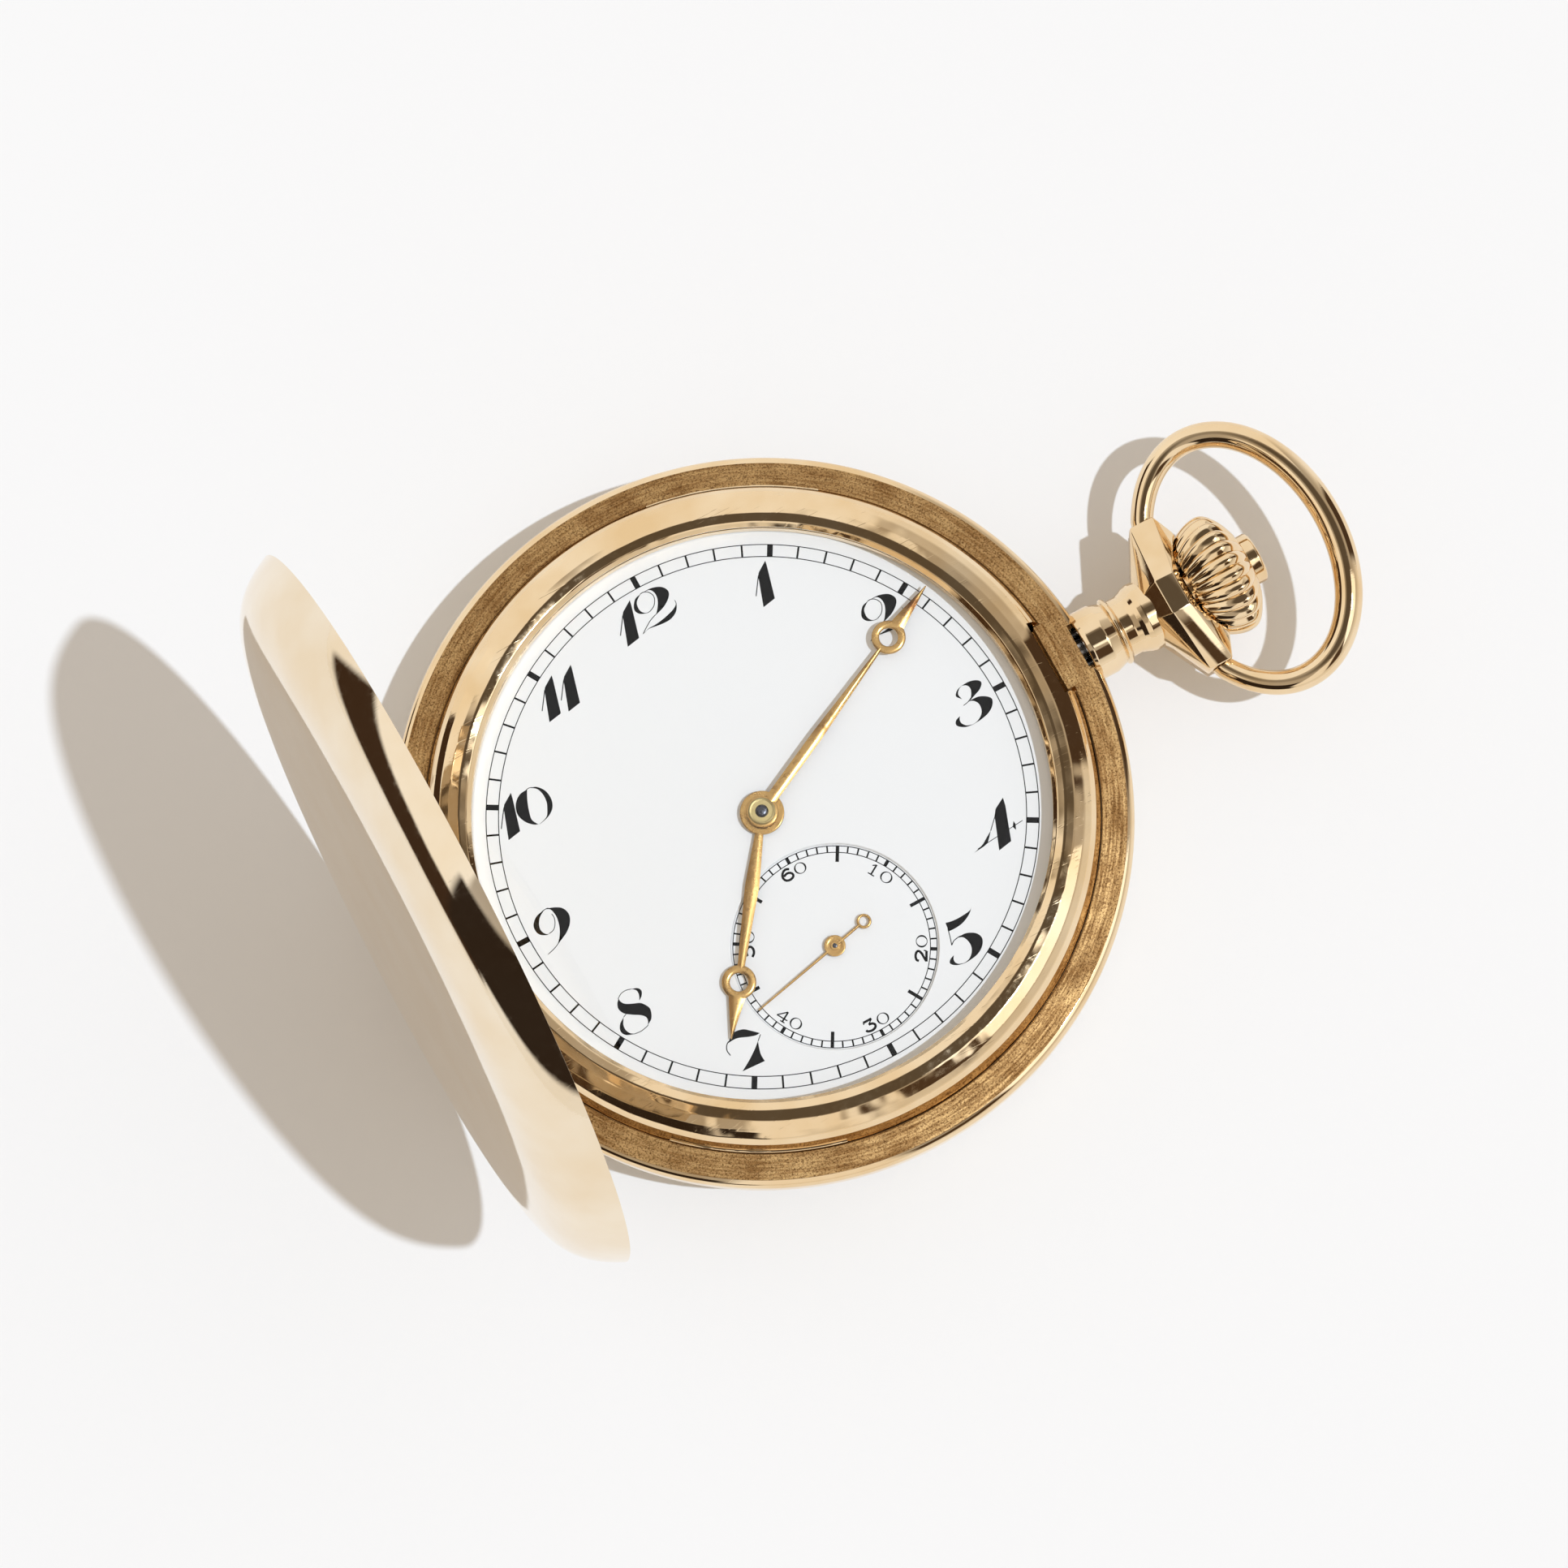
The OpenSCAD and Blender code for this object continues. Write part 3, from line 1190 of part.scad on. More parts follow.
module mainspring() {
    color(steel) at(barrel_at, barrel_z + barrel_wall + 0.15)
        linear_extrude(barrel_h - 2*barrel_wall - 0.25)
            polygon(spiral(2.5, mainspring_pitch, mainspring_turns, mainspring_t, 24));
}

module hairspring() {
    color("#3d4f86") at(balance_at, hairspring_z) rotate(stud_angle) union() {
        linear_extrude(hairspring_h)
            polygon(spiral(hairspring_in, hairspring_pitch, hairspring_turns, hairspring_t, 24));
        translate([hairspring_out, 0, 0]) rod(stud_r, bridge_in - 0.6 - hairspring_z, hairspring_h);
    }
}

echo("least gap between the hairspring's turns", hairspring_pitch - hairspring_t);
echo("least gap between the mainspring's turns", mainspring_pitch - mainspring_t);

// The ratchet wheel on the arbor's square, with its screw
module ratchet_wheel() {
    color(steel) at(barrel_at) union() {
        difference() {
            translate([0, 0, winding_z])
                linear_extrude(winding_t - 0.04) polygon(gear_points(ratchet_teeth,
                    pitch_r(ratchet_teeth, winding_module) - 1.15*winding_module,
                    pitch_r(ratchet_teeth, winding_module) + 0.9*winding_module, ratchet_turn));
            translate([-0.7 - running, -0.7 - running, winding_z - 1])
                cube([2*(0.7 + running), 2*(0.7 + running), 3]);
        }
        difference() {
            rod(1.3, winding_z - 0.25, winding_z);
            translate([-2, -0.12, winding_z - 0.35]) cube([4, 0.24, 0.22]);
        }
    }
}

// The crown wheel: spur teeth outside the bridge, and a drum with face teeth down to the winding pinion
module crown_wheel() {
    face_z = stem_z - winding_r - 0.9*winding_module + 0.32;
    drum_z = face_z - 0.75;
    color(steel) at(crown_wheel_at) difference() {
        union() {
            translate([0, 0, winding_z]) gear(crown_wheel_teeth, winding_module, winding_t, crown_spur_turn);
            rod(crown_wheel_r - 0.28, winding_z, drum_z + 0.1);
            intersection() {
                translate([0, 0, drum_z]) linear_extrude(face_z - drum_z) difference() {
                    polygon(gear_points(crown_wheel_teeth, 2.6, crown_wheel_r + 0.3, 180/crown_wheel_teeth));
                    circle(crown_wheel_r - 0.65);
                }
                rod(crown_wheel_r + 0.3, drum_z, face_z);
            }
        }
        rod(crown_post_r + running, winding_z - 1, face_z + 1);
    }
}

// The click: a pawl whose nose lies in the ratchet wheel's teeth
module click() {
    reach = pitch_r(ratchet_teeth, winding_module);
    index = round((100 - ratchet_turn)*ratchet_teeth/360);
    gap_angle = ratchet_turn + 360/ratchet_teeth*(index + 0.5);
    nose = toward(barrel_at, reach + 0.1, gap_angle);
    heel = toward(barrel_at, reach + 1.1, gap_angle + 4);
    color(steel) union() {
        translate([0, 0, winding_z]) linear_extrude(winding_t - 0.04) union() {
            at(click_at) circle(0.8);
            polygon([toward(nose, 0.09, gap_angle - 90), toward(nose, 0.09, gap_angle + 90),
                toward(heel, 0.45, gap_angle + 170), toward(click_at, 0.75, 300),
                toward(click_at, 0.75, 120), toward(heel, 0.5, gap_angle)]);
        }
        at(click_at) rod(0.3 - running, winding_z, bridge_out + 0.5);
    }
}

module click_spring() {
    color(steel) union() {
        translate([0, 0, winding_z]) linear_extrude(winding_t - 0.1) union() {
            at(click_spring_at) circle(0.6);
            polygon([toward(click_spring_at, 0.5, 80), toward(click_spring_at, 0.3, 260),
                toward(click_at, 1.15, 70), toward(click_at, 1.3, 76)]);
        }
        at(click_spring_at) rod(0.3 - running, winding_z, bridge_out + 0.5);
    }
}

// The centre wheel, its pinion and the arbor that carries the cannon pinion
module centre_wheel() {
    pinion_turn = mesh_turn(barrel_teeth, barrel_to_centre, barrel_to_centre, centre_leaves);
    color(gilt) union() {
        translate([0, 0, centre_z])
            spoked_gear(centre_teeth, centre_module, wheel_t, centre_to_third, 0.7, 1.6, 4);
        translate([0, 0, centre_z])
            gear(centre_leaves, barrel_module, plate_bot + 0.25 - centre_z, pinion_turn);
        rod(0.3, bridge_out + 0.1, centre_z + 0.1);
        rod(0.35, centre_z, cannon_z);
        rod(centre_post_r - 0.005, cannon_z - 0.01, minute_hand_z + hand_t + 0.02);
        intersection() {
            translate([0, 0, minute_hand_z + hand_t - 0.15]) sphere(r = 0.5);
            rod(centre_post_r - 0.005, minute_hand_z + hand_t, minute_hand_z + 1);
        }
    }
}

module third_wheel() {
    pinion_turn = mesh_turn(centre_teeth, centre_to_third, centre_to_third, third_leaves);
    color(gilt) at(third_at) union() {
        translate([0, 0, third_z])
            spoked_gear(third_teeth, third_module, wheel_t, third_to_fourth, 0.6, 1.3, 4);
        translate([0, 0, bridge_in + 0.05]) gear(third_leaves, centre_module, 0.38, pinion_turn);
        rod(0.35, bridge_in + 0.05, plate_bot - 0.05);
        rod(pivot_r, bridge_out + 0.05, plate_bot + 0.25);
    }
}

module fourth_wheel() {
    pinion_turn = mesh_turn(third_teeth, third_to_fourth, third_to_fourth, fourth_leaves);
    color(gilt) at(fourth_at) union() {
        translate([0, 0, fourth_z])
            spoked_gear(fourth_teeth, fourth_module, wheel_t, fourth_to_escape, 0.55, 1.2, 4);
        translate([0, 0, third_z - 0.1]) gear(fourth_leaves, third_module, 0.45, pinion_turn);
        rod(0.35, bridge_in + 0.05, plate_bot - 0.05);
        rod(pivot_r, bridge_out + 0.05, bridge_in + 0.1);
        rod(fourth_pipe_r - 0.005, plate_bot - 0.1, seconds_hand_z + 0.15);
    }
}

// The escape wheel's fifteen clubbed teeth lean the way it turns
module escape_wheel() {
    pinion_turn = mesh_turn(fourth_teeth, fourth_to_escape, fourth_to_escape, escape_leaves);
    color(steel) at(escape_at) union() {
        translate([0, 0, escape_z]) linear_extrude(wheel_t) difference() {
            polygon([for (i = [0:escape_teeth - 1]) for (p = [[0.72, -6], [1, 2], [0.97, 5], [0.74, 2]])
                let (a = 360/escape_teeth*i + p[1]) [escape_r*p[0]*cos(a), escape_r*p[0]*sin(a)]]);
            difference() {
                circle(escape_r*0.6);
                circle(0.75);
                for (i = [0:3]) rotate(90*i) translate([0, -0.15]) square([escape_r, 0.3]);
            }
        }
        translate([0, 0, fourth_z - 0.1]) gear(escape_leaves, fourth_module, 0.5, pinion_turn);
        rod(0.25, bridge_in + 0.05, plate_bot - 0.05);
        rod(pivot_r, bridge_out + 0.05, plate_bot + 0.25);
    }
}

// The pallet fork: two arms with ruby stones clear of the escape wheel, and a lever to the balance
module pallet_fork() {
    color(steel) at(pallet_at) rotate(pallet_line) union() {
        translate([0, 0, escape_z]) linear_extrude(wheel_t) difference() {
            union() {
                circle(0.6);
                polygon([[0, -0.25], [pallet_span - 1.7, -0.14], [pallet_span - 1.7, 0.14], [0, 0.25]]);
                polygon([[pallet_span - 2, -0.3], [pallet_span - 1.0, -0.55], [pallet_span - 1.0, 0.55],
                    [pallet_span - 2, 0.3]]);
                for (s = [-1, 1]) polygon([[0.3, 0.1*s], [-0.3, 0.3*s], [-0.75, 2.3*s], [-1.25, 2.45*s],
                    [-1.2, 2.85*s], [-0.5, 2.75*s], [0.1, 1.2*s]]);
            }
            translate([pallet_span - 1.45, -0.24]) square([1, 0.48]);
        }
        rod(0.2, plate_bot - 0.35, plate_bot - 0.02);
        rod(pivot_r, plate_bot - 0.65, plate_bot + 0.25);
    }
}

// The balance: a rim with timing screws on two arms
module balance_wheel() {
    rim = 0.7;
    color(gold) at(balance_at, balance_z) difference() {
        union() {
            linear_extrude(balance_t) difference() {
                circle(balance_r - 0.35);
                circle(balance_r - 0.35 - rim);
            }
            linear_extrude(balance_t*0.6) rotate(30) translate([0.45 - balance_r, -0.4])
                square([2*(balance_r - 0.45), 0.8]);
            linear_extrude(balance_t) circle(0.9);
            for (i = [0:13]) rotate(30 + 360/14*(i + 0.5)) translate([balance_r - 0.5, 0, balance_t/2])
                rotate([0, 90, 0]) cylinder(r = 0.2, h = 0.5);
        }
        rod(0.3, -1, 2);
    }
}

// The balance staff with its collet above the balance and its roller and impulse stone below
module balance_staff() {
    color(steel) at(balance_at) union() {
        rod(pivot_r, bridge_out + 0.05, plate_bot + 0.25);
        rod(0.3, balance_z - 0.01, plate_bot - 0.1);
        rod(0.65, hairspring_z, balance_z);
        rod(1.2, balance_z + balance_t, balance_z + balance_t + 0.2);
        rotate(pallet_line + 180) translate([0.95, 0, 0]) rod(0.15, balance_z + balance_t, escape_z - 0.06);
    }
}

// The regulator: a lever on the balance cock with its two curb pins' block
module regulator() {
    low = bridge_out - 0.3;
    color(steel) at(balance_at, low) linear_extrude(0.25) difference() {
        union() {
            circle(1.7);
            rotate(stud_angle) polygon([[0, -0.5], [6.2, -0.16], [6.2, 0.16], [0, 0.5]]);
            rotate(-40) polygon([[0, -0.45], [2.5, -0.3], [2.5, 0.3], [0, 0.45]]);
        }
        circle(0.9);
    }
}

module jewels() {
    low = bridge_out;
    color("#b0305a") {
        for (p = [third_at, fourth_at, escape_at, balance_at]) at(p) jewel(low);
        for (p = [third_at, escape_at, pallet_at, balance_at]) at(p) jewel(plate_bot);
        at(balance_at) rod(0.5, bridge_out - 0.25, bridge_out - 0.02);
    }
}

module jewel(z) {
    difference() {
        rod(jewel_r, z, z + jewel_t);
        rod(jewel_bore, z - 1, z + 1);
    }
}

module bridge_screws() {
    color("#4a5c94") {
        for (i = [0:4]) at(screw_places[i]) slotted_screw(bridge_out + 0.05, 0.8, 0.35, plate_bot + 0.8);
        at(screw_places[5]) slotted_screw(plate_bot - 0.8, 0.7, 0.2, plate_bot + 0.8);
        at(crown_wheel_at) slotted_screw(winding_z - 0.28, 1.2, 0.25, plate_bot - 0.5, 0.3);
    }
}

module slotted_screw(z, r, head, end, shank = 0.4) {
    difference() {
        union() {
            rod(r, z, z + head);
            rod(shank, z, end);
        }
        translate([-r - 1, -0.12, z - 0.1]) cube([2*r + 2, 0.24, 0.25]);
    }
}

case_band();
bezel();
crystal();
front_lid();
front_hinge_pin();
back_lid();
back_hinge_pin();
cuvette();
cuvette_hinge_pin();
bow();
crown();
winding_stem();
winding_pinion();
sliding_pinion();
crown_button();
push_sleeve();
lock_spring();
lock_spring_screw();
lift_spring();
case_screws();
main_plate();
barrel_bridge();
train_bridge();
balance_cock();
pallet_cock();
dial();
seconds_dial();
dial_feet();
hour_hand();
minute_hand();
seconds_hand();
cannon_pinion();
hour_wheel();
minute_wheel();
setting_wheel();
setting_lever();
yoke();
barrel_drum();
barrel_cover();
barrel_arbor();
mainspring();
ratchet_wheel();
crown_wheel();
click();
click_spring();
centre_wheel();
third_wheel();
fourth_wheel();
escape_wheel();
pallet_fork();
balance_wheel();
balance_staff();
hairspring();
regulator();
jewels();
bridge_screws();
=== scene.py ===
# Full hunter pocket watch: the looks over the shared frame, in metres, +Z up and +X through the crown
import math
import bpy
import bmesh
import numpy as np
from mathutils import Euler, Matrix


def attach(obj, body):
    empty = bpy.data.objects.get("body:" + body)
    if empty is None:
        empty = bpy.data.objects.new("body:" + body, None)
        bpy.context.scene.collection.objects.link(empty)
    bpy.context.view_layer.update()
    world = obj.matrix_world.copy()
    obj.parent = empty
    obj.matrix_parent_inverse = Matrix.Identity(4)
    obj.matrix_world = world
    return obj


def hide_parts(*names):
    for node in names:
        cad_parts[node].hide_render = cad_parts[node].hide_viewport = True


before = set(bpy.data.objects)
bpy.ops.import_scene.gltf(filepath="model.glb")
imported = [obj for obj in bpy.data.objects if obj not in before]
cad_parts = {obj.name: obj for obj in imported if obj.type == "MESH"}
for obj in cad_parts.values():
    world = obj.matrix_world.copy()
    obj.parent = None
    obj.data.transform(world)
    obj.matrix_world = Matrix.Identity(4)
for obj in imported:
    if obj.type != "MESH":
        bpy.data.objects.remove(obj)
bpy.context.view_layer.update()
mm = 0.001
mergeGap = 2e-7  # points nearer than this, in metres, become one
print("frame loaded:", len(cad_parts), "nodes")

# sizes of the case that several pieces share, in mm
case = {
    "lidR": 25.4, "seatTop": 7.8, "seatEdge": 7.35, "backEdge": 4.95, "backTop": 4.5, "cuvetteR": 22.85,
    "dialZ": 8.3, "plateTop": 7.4, "stemZ": 5.85, "sideGap": 0.06, "bezelRise": 2.1,
    "pivotX": 33.7, "headEndX": 33.9, "neckX": 25.6, "lidOpen": 83.5, "round": 384,
    "secondsAt": (0.0, -10.6), "secondsR": 7.3, "secondsSink": 0.25,
}
# the three hinge lines along Y, each with its knuckles
hinges = {
    "front": {"x": -25.6, "z": 7.6, "r": 0.65, "length": 11.0, "knuckles": 5},
    "back": {"x": -25.6, "z": 4.75, "r": 0.65, "length": 11.0, "knuckles": 5},
    "cuvette": {"x": -22.95, "z": 4.45, "r": 0.45, "length": 6.0, "knuckles": 3},
}


def toLinear(code):
    srgb = np.array([int(code[i:i + 2], 16) for i in (1, 3, 5)]) / 255
    linear = np.where(srgb <= 0.04045, srgb / 12.92, ((srgb + 0.055) / 1.055) ** 2.4)
    return tuple(float(v) for v in linear) + (1.0,)


# ---- shader helpers

def addNode(tree, kind, inputs=None, **settings):
    # one node: plain values and links both go in by socket name or number; gives the node's outputs
    node = tree.nodes.new("ShaderNode" + kind)
    for key, value in settings.items():
        setattr(node, key, value)
    for key, value in (inputs or {}).items():
        if isinstance(value, bpy.types.NodeSocket):
            tree.links.new(value, node.inputs[key])
        else:
            node.inputs[key].default_value = value
    return node.outputs


def newMaterial(name):
    material = bpy.data.materials.new(name)
    material.use_nodes = True
    material.node_tree.nodes.clear()
    return material, material.node_tree


def surfaced(material, kind, inputs):
    # the last shader node, joined to the material's output
    shader = addNode(material.node_tree, kind, inputs)[0]
    addNode(material.node_tree, "OutputMaterial", {0: shader})
    return material


def mmCoords(tree):
    # Object coordinates counted in millimetres, so a noise of scale 1 / size has blotches of that size
    place = addNode(tree, "TexCoord")["Object"]
    return addNode(tree, "VectorMath", {0: place, "Scale": 1000.0}, operation="SCALE")[0]


def polar(tree, vector, rings, turns):
    # radius and turn round Z, stretched into a vector whose noise runs in rings
    x, y, z = addNode(tree, "SeparateXYZ", {0: vector})
    flat = addNode(tree, "CombineXYZ", {0: x, 1: y})[0]
    radius = addNode(tree, "VectorMath", {0: flat}, operation="LENGTH")["Value"]
    turn = addNode(tree, "Math", {0: y, 1: x}, operation="ARCTAN2")[0]
    parts = [addNode(tree, "Math", {0: part, 1: stretch}, operation="MULTIPLY")[0]
             for part, stretch in ((radius, rings), (turn, turns), (z, rings))]
    return addNode(tree, "CombineXYZ", dict(enumerate(parts)))[0]


print("helpers ready")

colours = {
    # pale and paleDeep are the case's gold painted paler for the lids: a painted sheen for the whiter look of
    # their reflection at a grazing view
    "gold": "#F5DDB8", "goldDeep": "#EBCB9C", "pale": "#F5E6CE", "paleDeep": "#F0DCBD",
    "seat": "#9C7242", "seatSpeck": "#CFA972", "seatPit": "#5E3A1C", "gilt": "#E2C07A", "steel": "#C2C4C8",
    "nickel": "#CFCBC0", "blued": "#26386B", "copper": "#C98358", "hand": "#C29C60", "patina": "#6B4220",
    "pin": "#4E4E52", "collet": "#A39062", "wheel": "#DDBB78", "enamel": "#F3F5F6", "ink": "#060607",
    "clear": "#FFFFFF", "ruby": "#B02048", "paper": "#F6F6F6",
}
linear = {key: toLinear(code) for key, code in colours.items()}


def polishedGold(name, tone, rough, scratch, dents):
    # rose gold plate, buffed: a warm mirror, duller in small clouds of wear, that bends its image over
    # broad shallow dents and carries fine scratches; scratch and dents are heights in mm
    material, tree = newMaterial(name)
    vector = mmCoords(tree)
    cloud = addNode(tree, "TexNoise", {"Vector": vector, "Scale": 1 / 5.0, "Detail": 3.0})["Fac"]
    wear = addNode(tree, "TexNoise", {"Vector": vector, "Scale": 1 / 0.5, "Detail": 4.0,
                                      "Roughness": 0.6})["Fac"]
    swell = addNode(tree, "TexNoise", {"Vector": vector, "Scale": 1 / 4.5, "Detail": 1.5})["Fac"]
    long = addNode(tree, "Mapping", {"Vector": vector, "Rotation": (0.3, 0.2, 0.9),
                                     "Scale": (0.15, 6.0, 3.0)})[0]
    lines = addNode(tree, "TexNoise", {"Vector": long, "Scale": 1.0})["Fac"]
    scuffs = addNode(tree, "MapRange", {"Value": lines, 1: 0.62, 2: 0.72})[0]
    deep = addNode(tree, "MapRange", {"Value": cloud, 1: 0.35, 2: 0.7})[0]
    colour = addNode(tree, "Mix", {0: deep, 6: linear[tone], 7: linear[tone + "Deep"]}, data_type="RGBA")[2]
    gloss = addNode(tree, "MapRange", {"Value": wear, 1: 0.45, 2: 0.75, 3: rough, 4: rough + 0.09})[0]
    dented = addNode(tree, "Bump", {"Height": swell, "Distance": dents * mm})[0]
    relief = addNode(tree, "Bump", {"Height": scuffs, "Distance": scratch * mm, "Normal": dented})[0]
    return surfaced(material, "BsdfPrincipled", {
        "Base Color": colour, "Metallic": 1.0, "Roughness": gloss, "Normal": relief})


def mattedGold(name):
    # the seat left matt by the lid's rim: brown pitted gold, bright where it is rubbed
    material, tree = newMaterial(name)
    vector = mmCoords(tree)
    fine = addNode(tree, "TexNoise", {"Vector": vector, "Scale": 1 / 0.13, "Detail": 5.0,
                                      "Roughness": 0.75})["Fac"]
    broad = addNode(tree, "TexNoise", {"Vector": vector, "Scale": 1 / 2.6, "Detail": 3.0,
                                       "Roughness": 0.6})["Fac"]
    rings = addNode(tree, "TexNoise", {"Vector": polar(tree, vector, 6.0, 7.0), "Scale": 1.0,
                                       "Detail": 4.0, "Roughness": 0.65})["Fac"]
    patches = addNode(tree, "MapRange", {"Value": broad, 1: 0.36, 2: 0.62, 4: 0.55})[0]
    bands = addNode(tree, "MapRange", {"Value": rings, 1: 0.38, 2: 0.62, 4: 0.6})[0]
    rubbed = addNode(tree, "Math", {0: patches, 1: bands}, operation="ADD")[0]
    pits = addNode(tree, "MapRange", {"Value": fine, 1: 0.38, 2: 0.54, 3: 0.1})[0]
    tone = addNode(tree, "Mix", {0: rubbed, 6: linear["seat"], 7: linear["seatSpeck"]}, data_type="RGBA")[2]
    tone = addNode(tree, "Mix", {0: pits, 6: linear["seatPit"], 7: tone}, data_type="RGBA")[2]
    rough = addNode(tree, "MapRange", {"Value": rings, 1: 0.35, 2: 0.65, 3: 0.74, 4: 0.52})[0]
    grooves = addNode(tree, "Bump", {"Height": rings, "Distance": 0.012 * mm})[0]
    relief = addNode(tree, "Bump", {"Height": fine, "Distance": 0.008 * mm, "Normal": grooves})[0]
    return surfaced(material, "BsdfPrincipled", {
        "Base Color": tone, "Metallic": 1.0, "Roughness": rough, "Normal": relief})


def plainMetal(name, colour, rough, grain=0.3, relief=0.0008):
    # one metal with a fine even grain that breaks its mirror up a little; grain and relief in mm
    material, tree = newMaterial(name)
    wear = addNode(tree, "TexNoise", {"Vector": mmCoords(tree), "Scale": 1 / grain, "Detail": 3.0})["Fac"]
    gloss = addNode(tree, "MapRange", {"Value": wear, 1: 0.3, 2: 0.7, 3: rough * 0.75, 4: rough * 1.25})[0]
    bump = addNode(tree, "Bump", {"Height": wear, "Distance": relief * mm})[0]
    return surfaced(material, "BsdfPrincipled", {
        "Base Color": linear[colour], "Metallic": 1.0, "Roughness": gloss, "Normal": bump})


def stripedNickel(name):
    # bridges ruled with straight stripes, each a shallow rib that catches the light in turn
    material, tree = newMaterial(name)
    vector = mmCoords(tree)
    across = addNode(tree, "Mapping", {"Vector": vector, "Rotation": (0, 0, math.radians(30))})[0]
    stripes = addNode(tree, "TexWave", {"Vector": across, "Scale": 0.16, "Distortion": 0.0},
                      wave_type="BANDS", bands_direction="X", wave_profile="SAW")["Fac"]
    grain = addNode(tree, "TexNoise", {"Vector": vector, "Scale": 1 / 0.2, "Detail": 3.0})["Fac"]
    gloss = addNode(tree, "MapRange", {"Value": grain, 1: 0.3, 2: 0.7, 3: 0.2, 4: 0.3})[0]
    even = addNode(tree, "Bump", {"Height": grain, "Distance": 0.0008 * mm})[0]
    ribs = addNode(tree, "Bump", {"Height": stripes, "Distance": 0.12 * mm, "Normal": even})[0]
    return surfaced(material, "BsdfPrincipled", {
        "Base Color": linear["nickel"], "Metallic": 1.0, "Roughness": gloss, "Normal": ribs})


def firedEnamel(name):
    # white vitreous enamel: a glassy coat with a barely wavy face
    material, tree = newMaterial(name)
    wave = addNode(tree, "TexNoise", {"Vector": mmCoords(tree), "Scale": 1 / 4.0, "Detail": 1.0})["Fac"]
    relief = addNode(tree, "Bump", {"Height": wave, "Distance": 0.01 * mm})[0]
    return surfaced(material, "BsdfPrincipled", {
        "Base Color": linear["enamel"], "Roughness": 0.12, "Normal": relief})


def printedInk(name):
    # black paint printed on the enamel and fired: dead matt, so that it stays black under the lamp
    return surfaced(newMaterial(name)[0], "BsdfPrincipled", {
        "Base Color": linear["ink"], "Roughness": 0.6, "Specular IOR Level": 0.02})


def handGilt(name):
    # gilt brass hands: brown patina where the attribute says, and in small stains
    material, tree = newMaterial(name)
    stain = addNode(tree, "Attribute", attribute_name="stain")["Fac"]
    spots = addNode(tree, "TexNoise", {"Vector": mmCoords(tree), "Scale": 1 / 0.45, "Detail": 4.0,
                                       "Roughness": 0.7})["Fac"]
    broken = addNode(tree, "MapRange", {"Value": spots, 1: 0.3, 2: 0.55, 3: 0.2})[0]
    worn = addNode(tree, "Math", {0: stain, 1: broken}, operation="MULTIPLY", use_clamp=True)[0]
    little = addNode(tree, "MapRange", {"Value": spots, 1: 0.52, 2: 0.66, 3: 0.05, 4: 0.5})[0]
    total = addNode(tree, "Math", {0: worn, 1: little}, operation="MAXIMUM")[0]
    tone = addNode(tree, "Mix", {0: total, 6: linear["hand"], 7: linear["patina"]}, data_type="RGBA")[2]
    rough = addNode(tree, "MapRange", {"Value": total, 3: 0.2, 4: 0.5})[0]
    relief = addNode(tree, "Bump", {"Height": spots, "Distance": 0.004 * mm})[0]
    return surfaced(material, "BsdfPrincipled", {
        "Base Color": tone, "Metallic": 1.0, "Roughness": rough, "Normal": relief})


def clearGlass(name, tint, ior):
    # polished glass or stone: mirrors faintly, bends what is seen through it and lets the lamp's light pass
    material, tree = newMaterial(name)
    glass = addNode(tree, "BsdfPrincipled", {"Base Color": linear[tint], "Roughness": 0.0, "IOR": ior,
                                             "Transmission Weight": 1.0})[0]
    clear = addNode(tree, "BsdfTransparent", {"Color": linear[tint]})[0]
    path = addNode(tree, "LightPath")
    both = addNode(tree, "Math", {0: path["Is Shadow Ray"], 1: path["Is Diffuse Ray"]},
                   operation="MAXIMUM")[0]
    return surfaced(material, "MixShader", {0: both, 1: glass, 2: clear})


def mattPaper(name):
    # a plain sheet of paper: spreads the light evenly, so the shadows on it stay soft and pale
    return surfaced(newMaterial(name)[0], "BsdfDiffuse", {"Color": linear["paper"]})


# pieces name their material by its key here; the watch glass's IOR is matched to its faint mirroring
look = {
    # the lids take the gold painted paler, a painted sheen standing in for the whiter grazing reflection; the
    # back lid shares it
    "lidGold": polishedGold("rose gold plate, buffed lid, painted paler sheen", "pale", 0.025, 0.0003, 0.012),
    "caseGold": polishedGold("rose gold plate, buffed case", "gold", 0.03, 0.0006, 0.02),
    "bezelGold": polishedGold("rose gold plate, turned bezel", "gold", 0.045, 0.002, 0.3),
    "seatGold": mattedGold("rose gold plate, worn matt seat"),
    "steel": plainMetal("steel, fine ground", "steel", 0.25),
    "pin": plainMetal("steel, dark polished pin", "pin", 0.28),
    "collet": plainMetal("brass, dull speckled collet", "collet", 0.42, 0.09, 0.006),
    "gilt": plainMetal("brass, matt gilt", "gilt", 0.38, 0.08, 0.003),
    "wheel": plainMetal("brass, polished wheel", "wheel", 0.22),
    "nickel": stripedNickel("nickel silver, ruled with stripes"),
    "copper": plainMetal("copper, bare", "copper", 0.3),
    "blued": plainMetal("steel, blued by heat", "blued", 0.2),
    "enamel": firedEnamel("enamel, fired white"),
    "ink": printedInk("enamel paint, black"),
    "hand": handGilt("brass, gilt hand with patina"),
    "glass": clearGlass("glass, polished crystal", "clear", 1.38),
    "ruby": clearGlass("ruby, polished jewel", "ruby", 1.76),
    "paper": mattPaper("paper, matt white sheet"),
}
print("materials:", len(look))


# ---- shape helpers, all in mm until the mesh is made

def addThing(name, data, metals=()):
    # the mesh gets its materials, and stands in the scene as an object
    for metal in metals:
        data.materials.append(look[metal])
    thing = bpy.data.objects.new(name, data)
    bpy.context.scene.collection.objects.link(thing)
    return thing


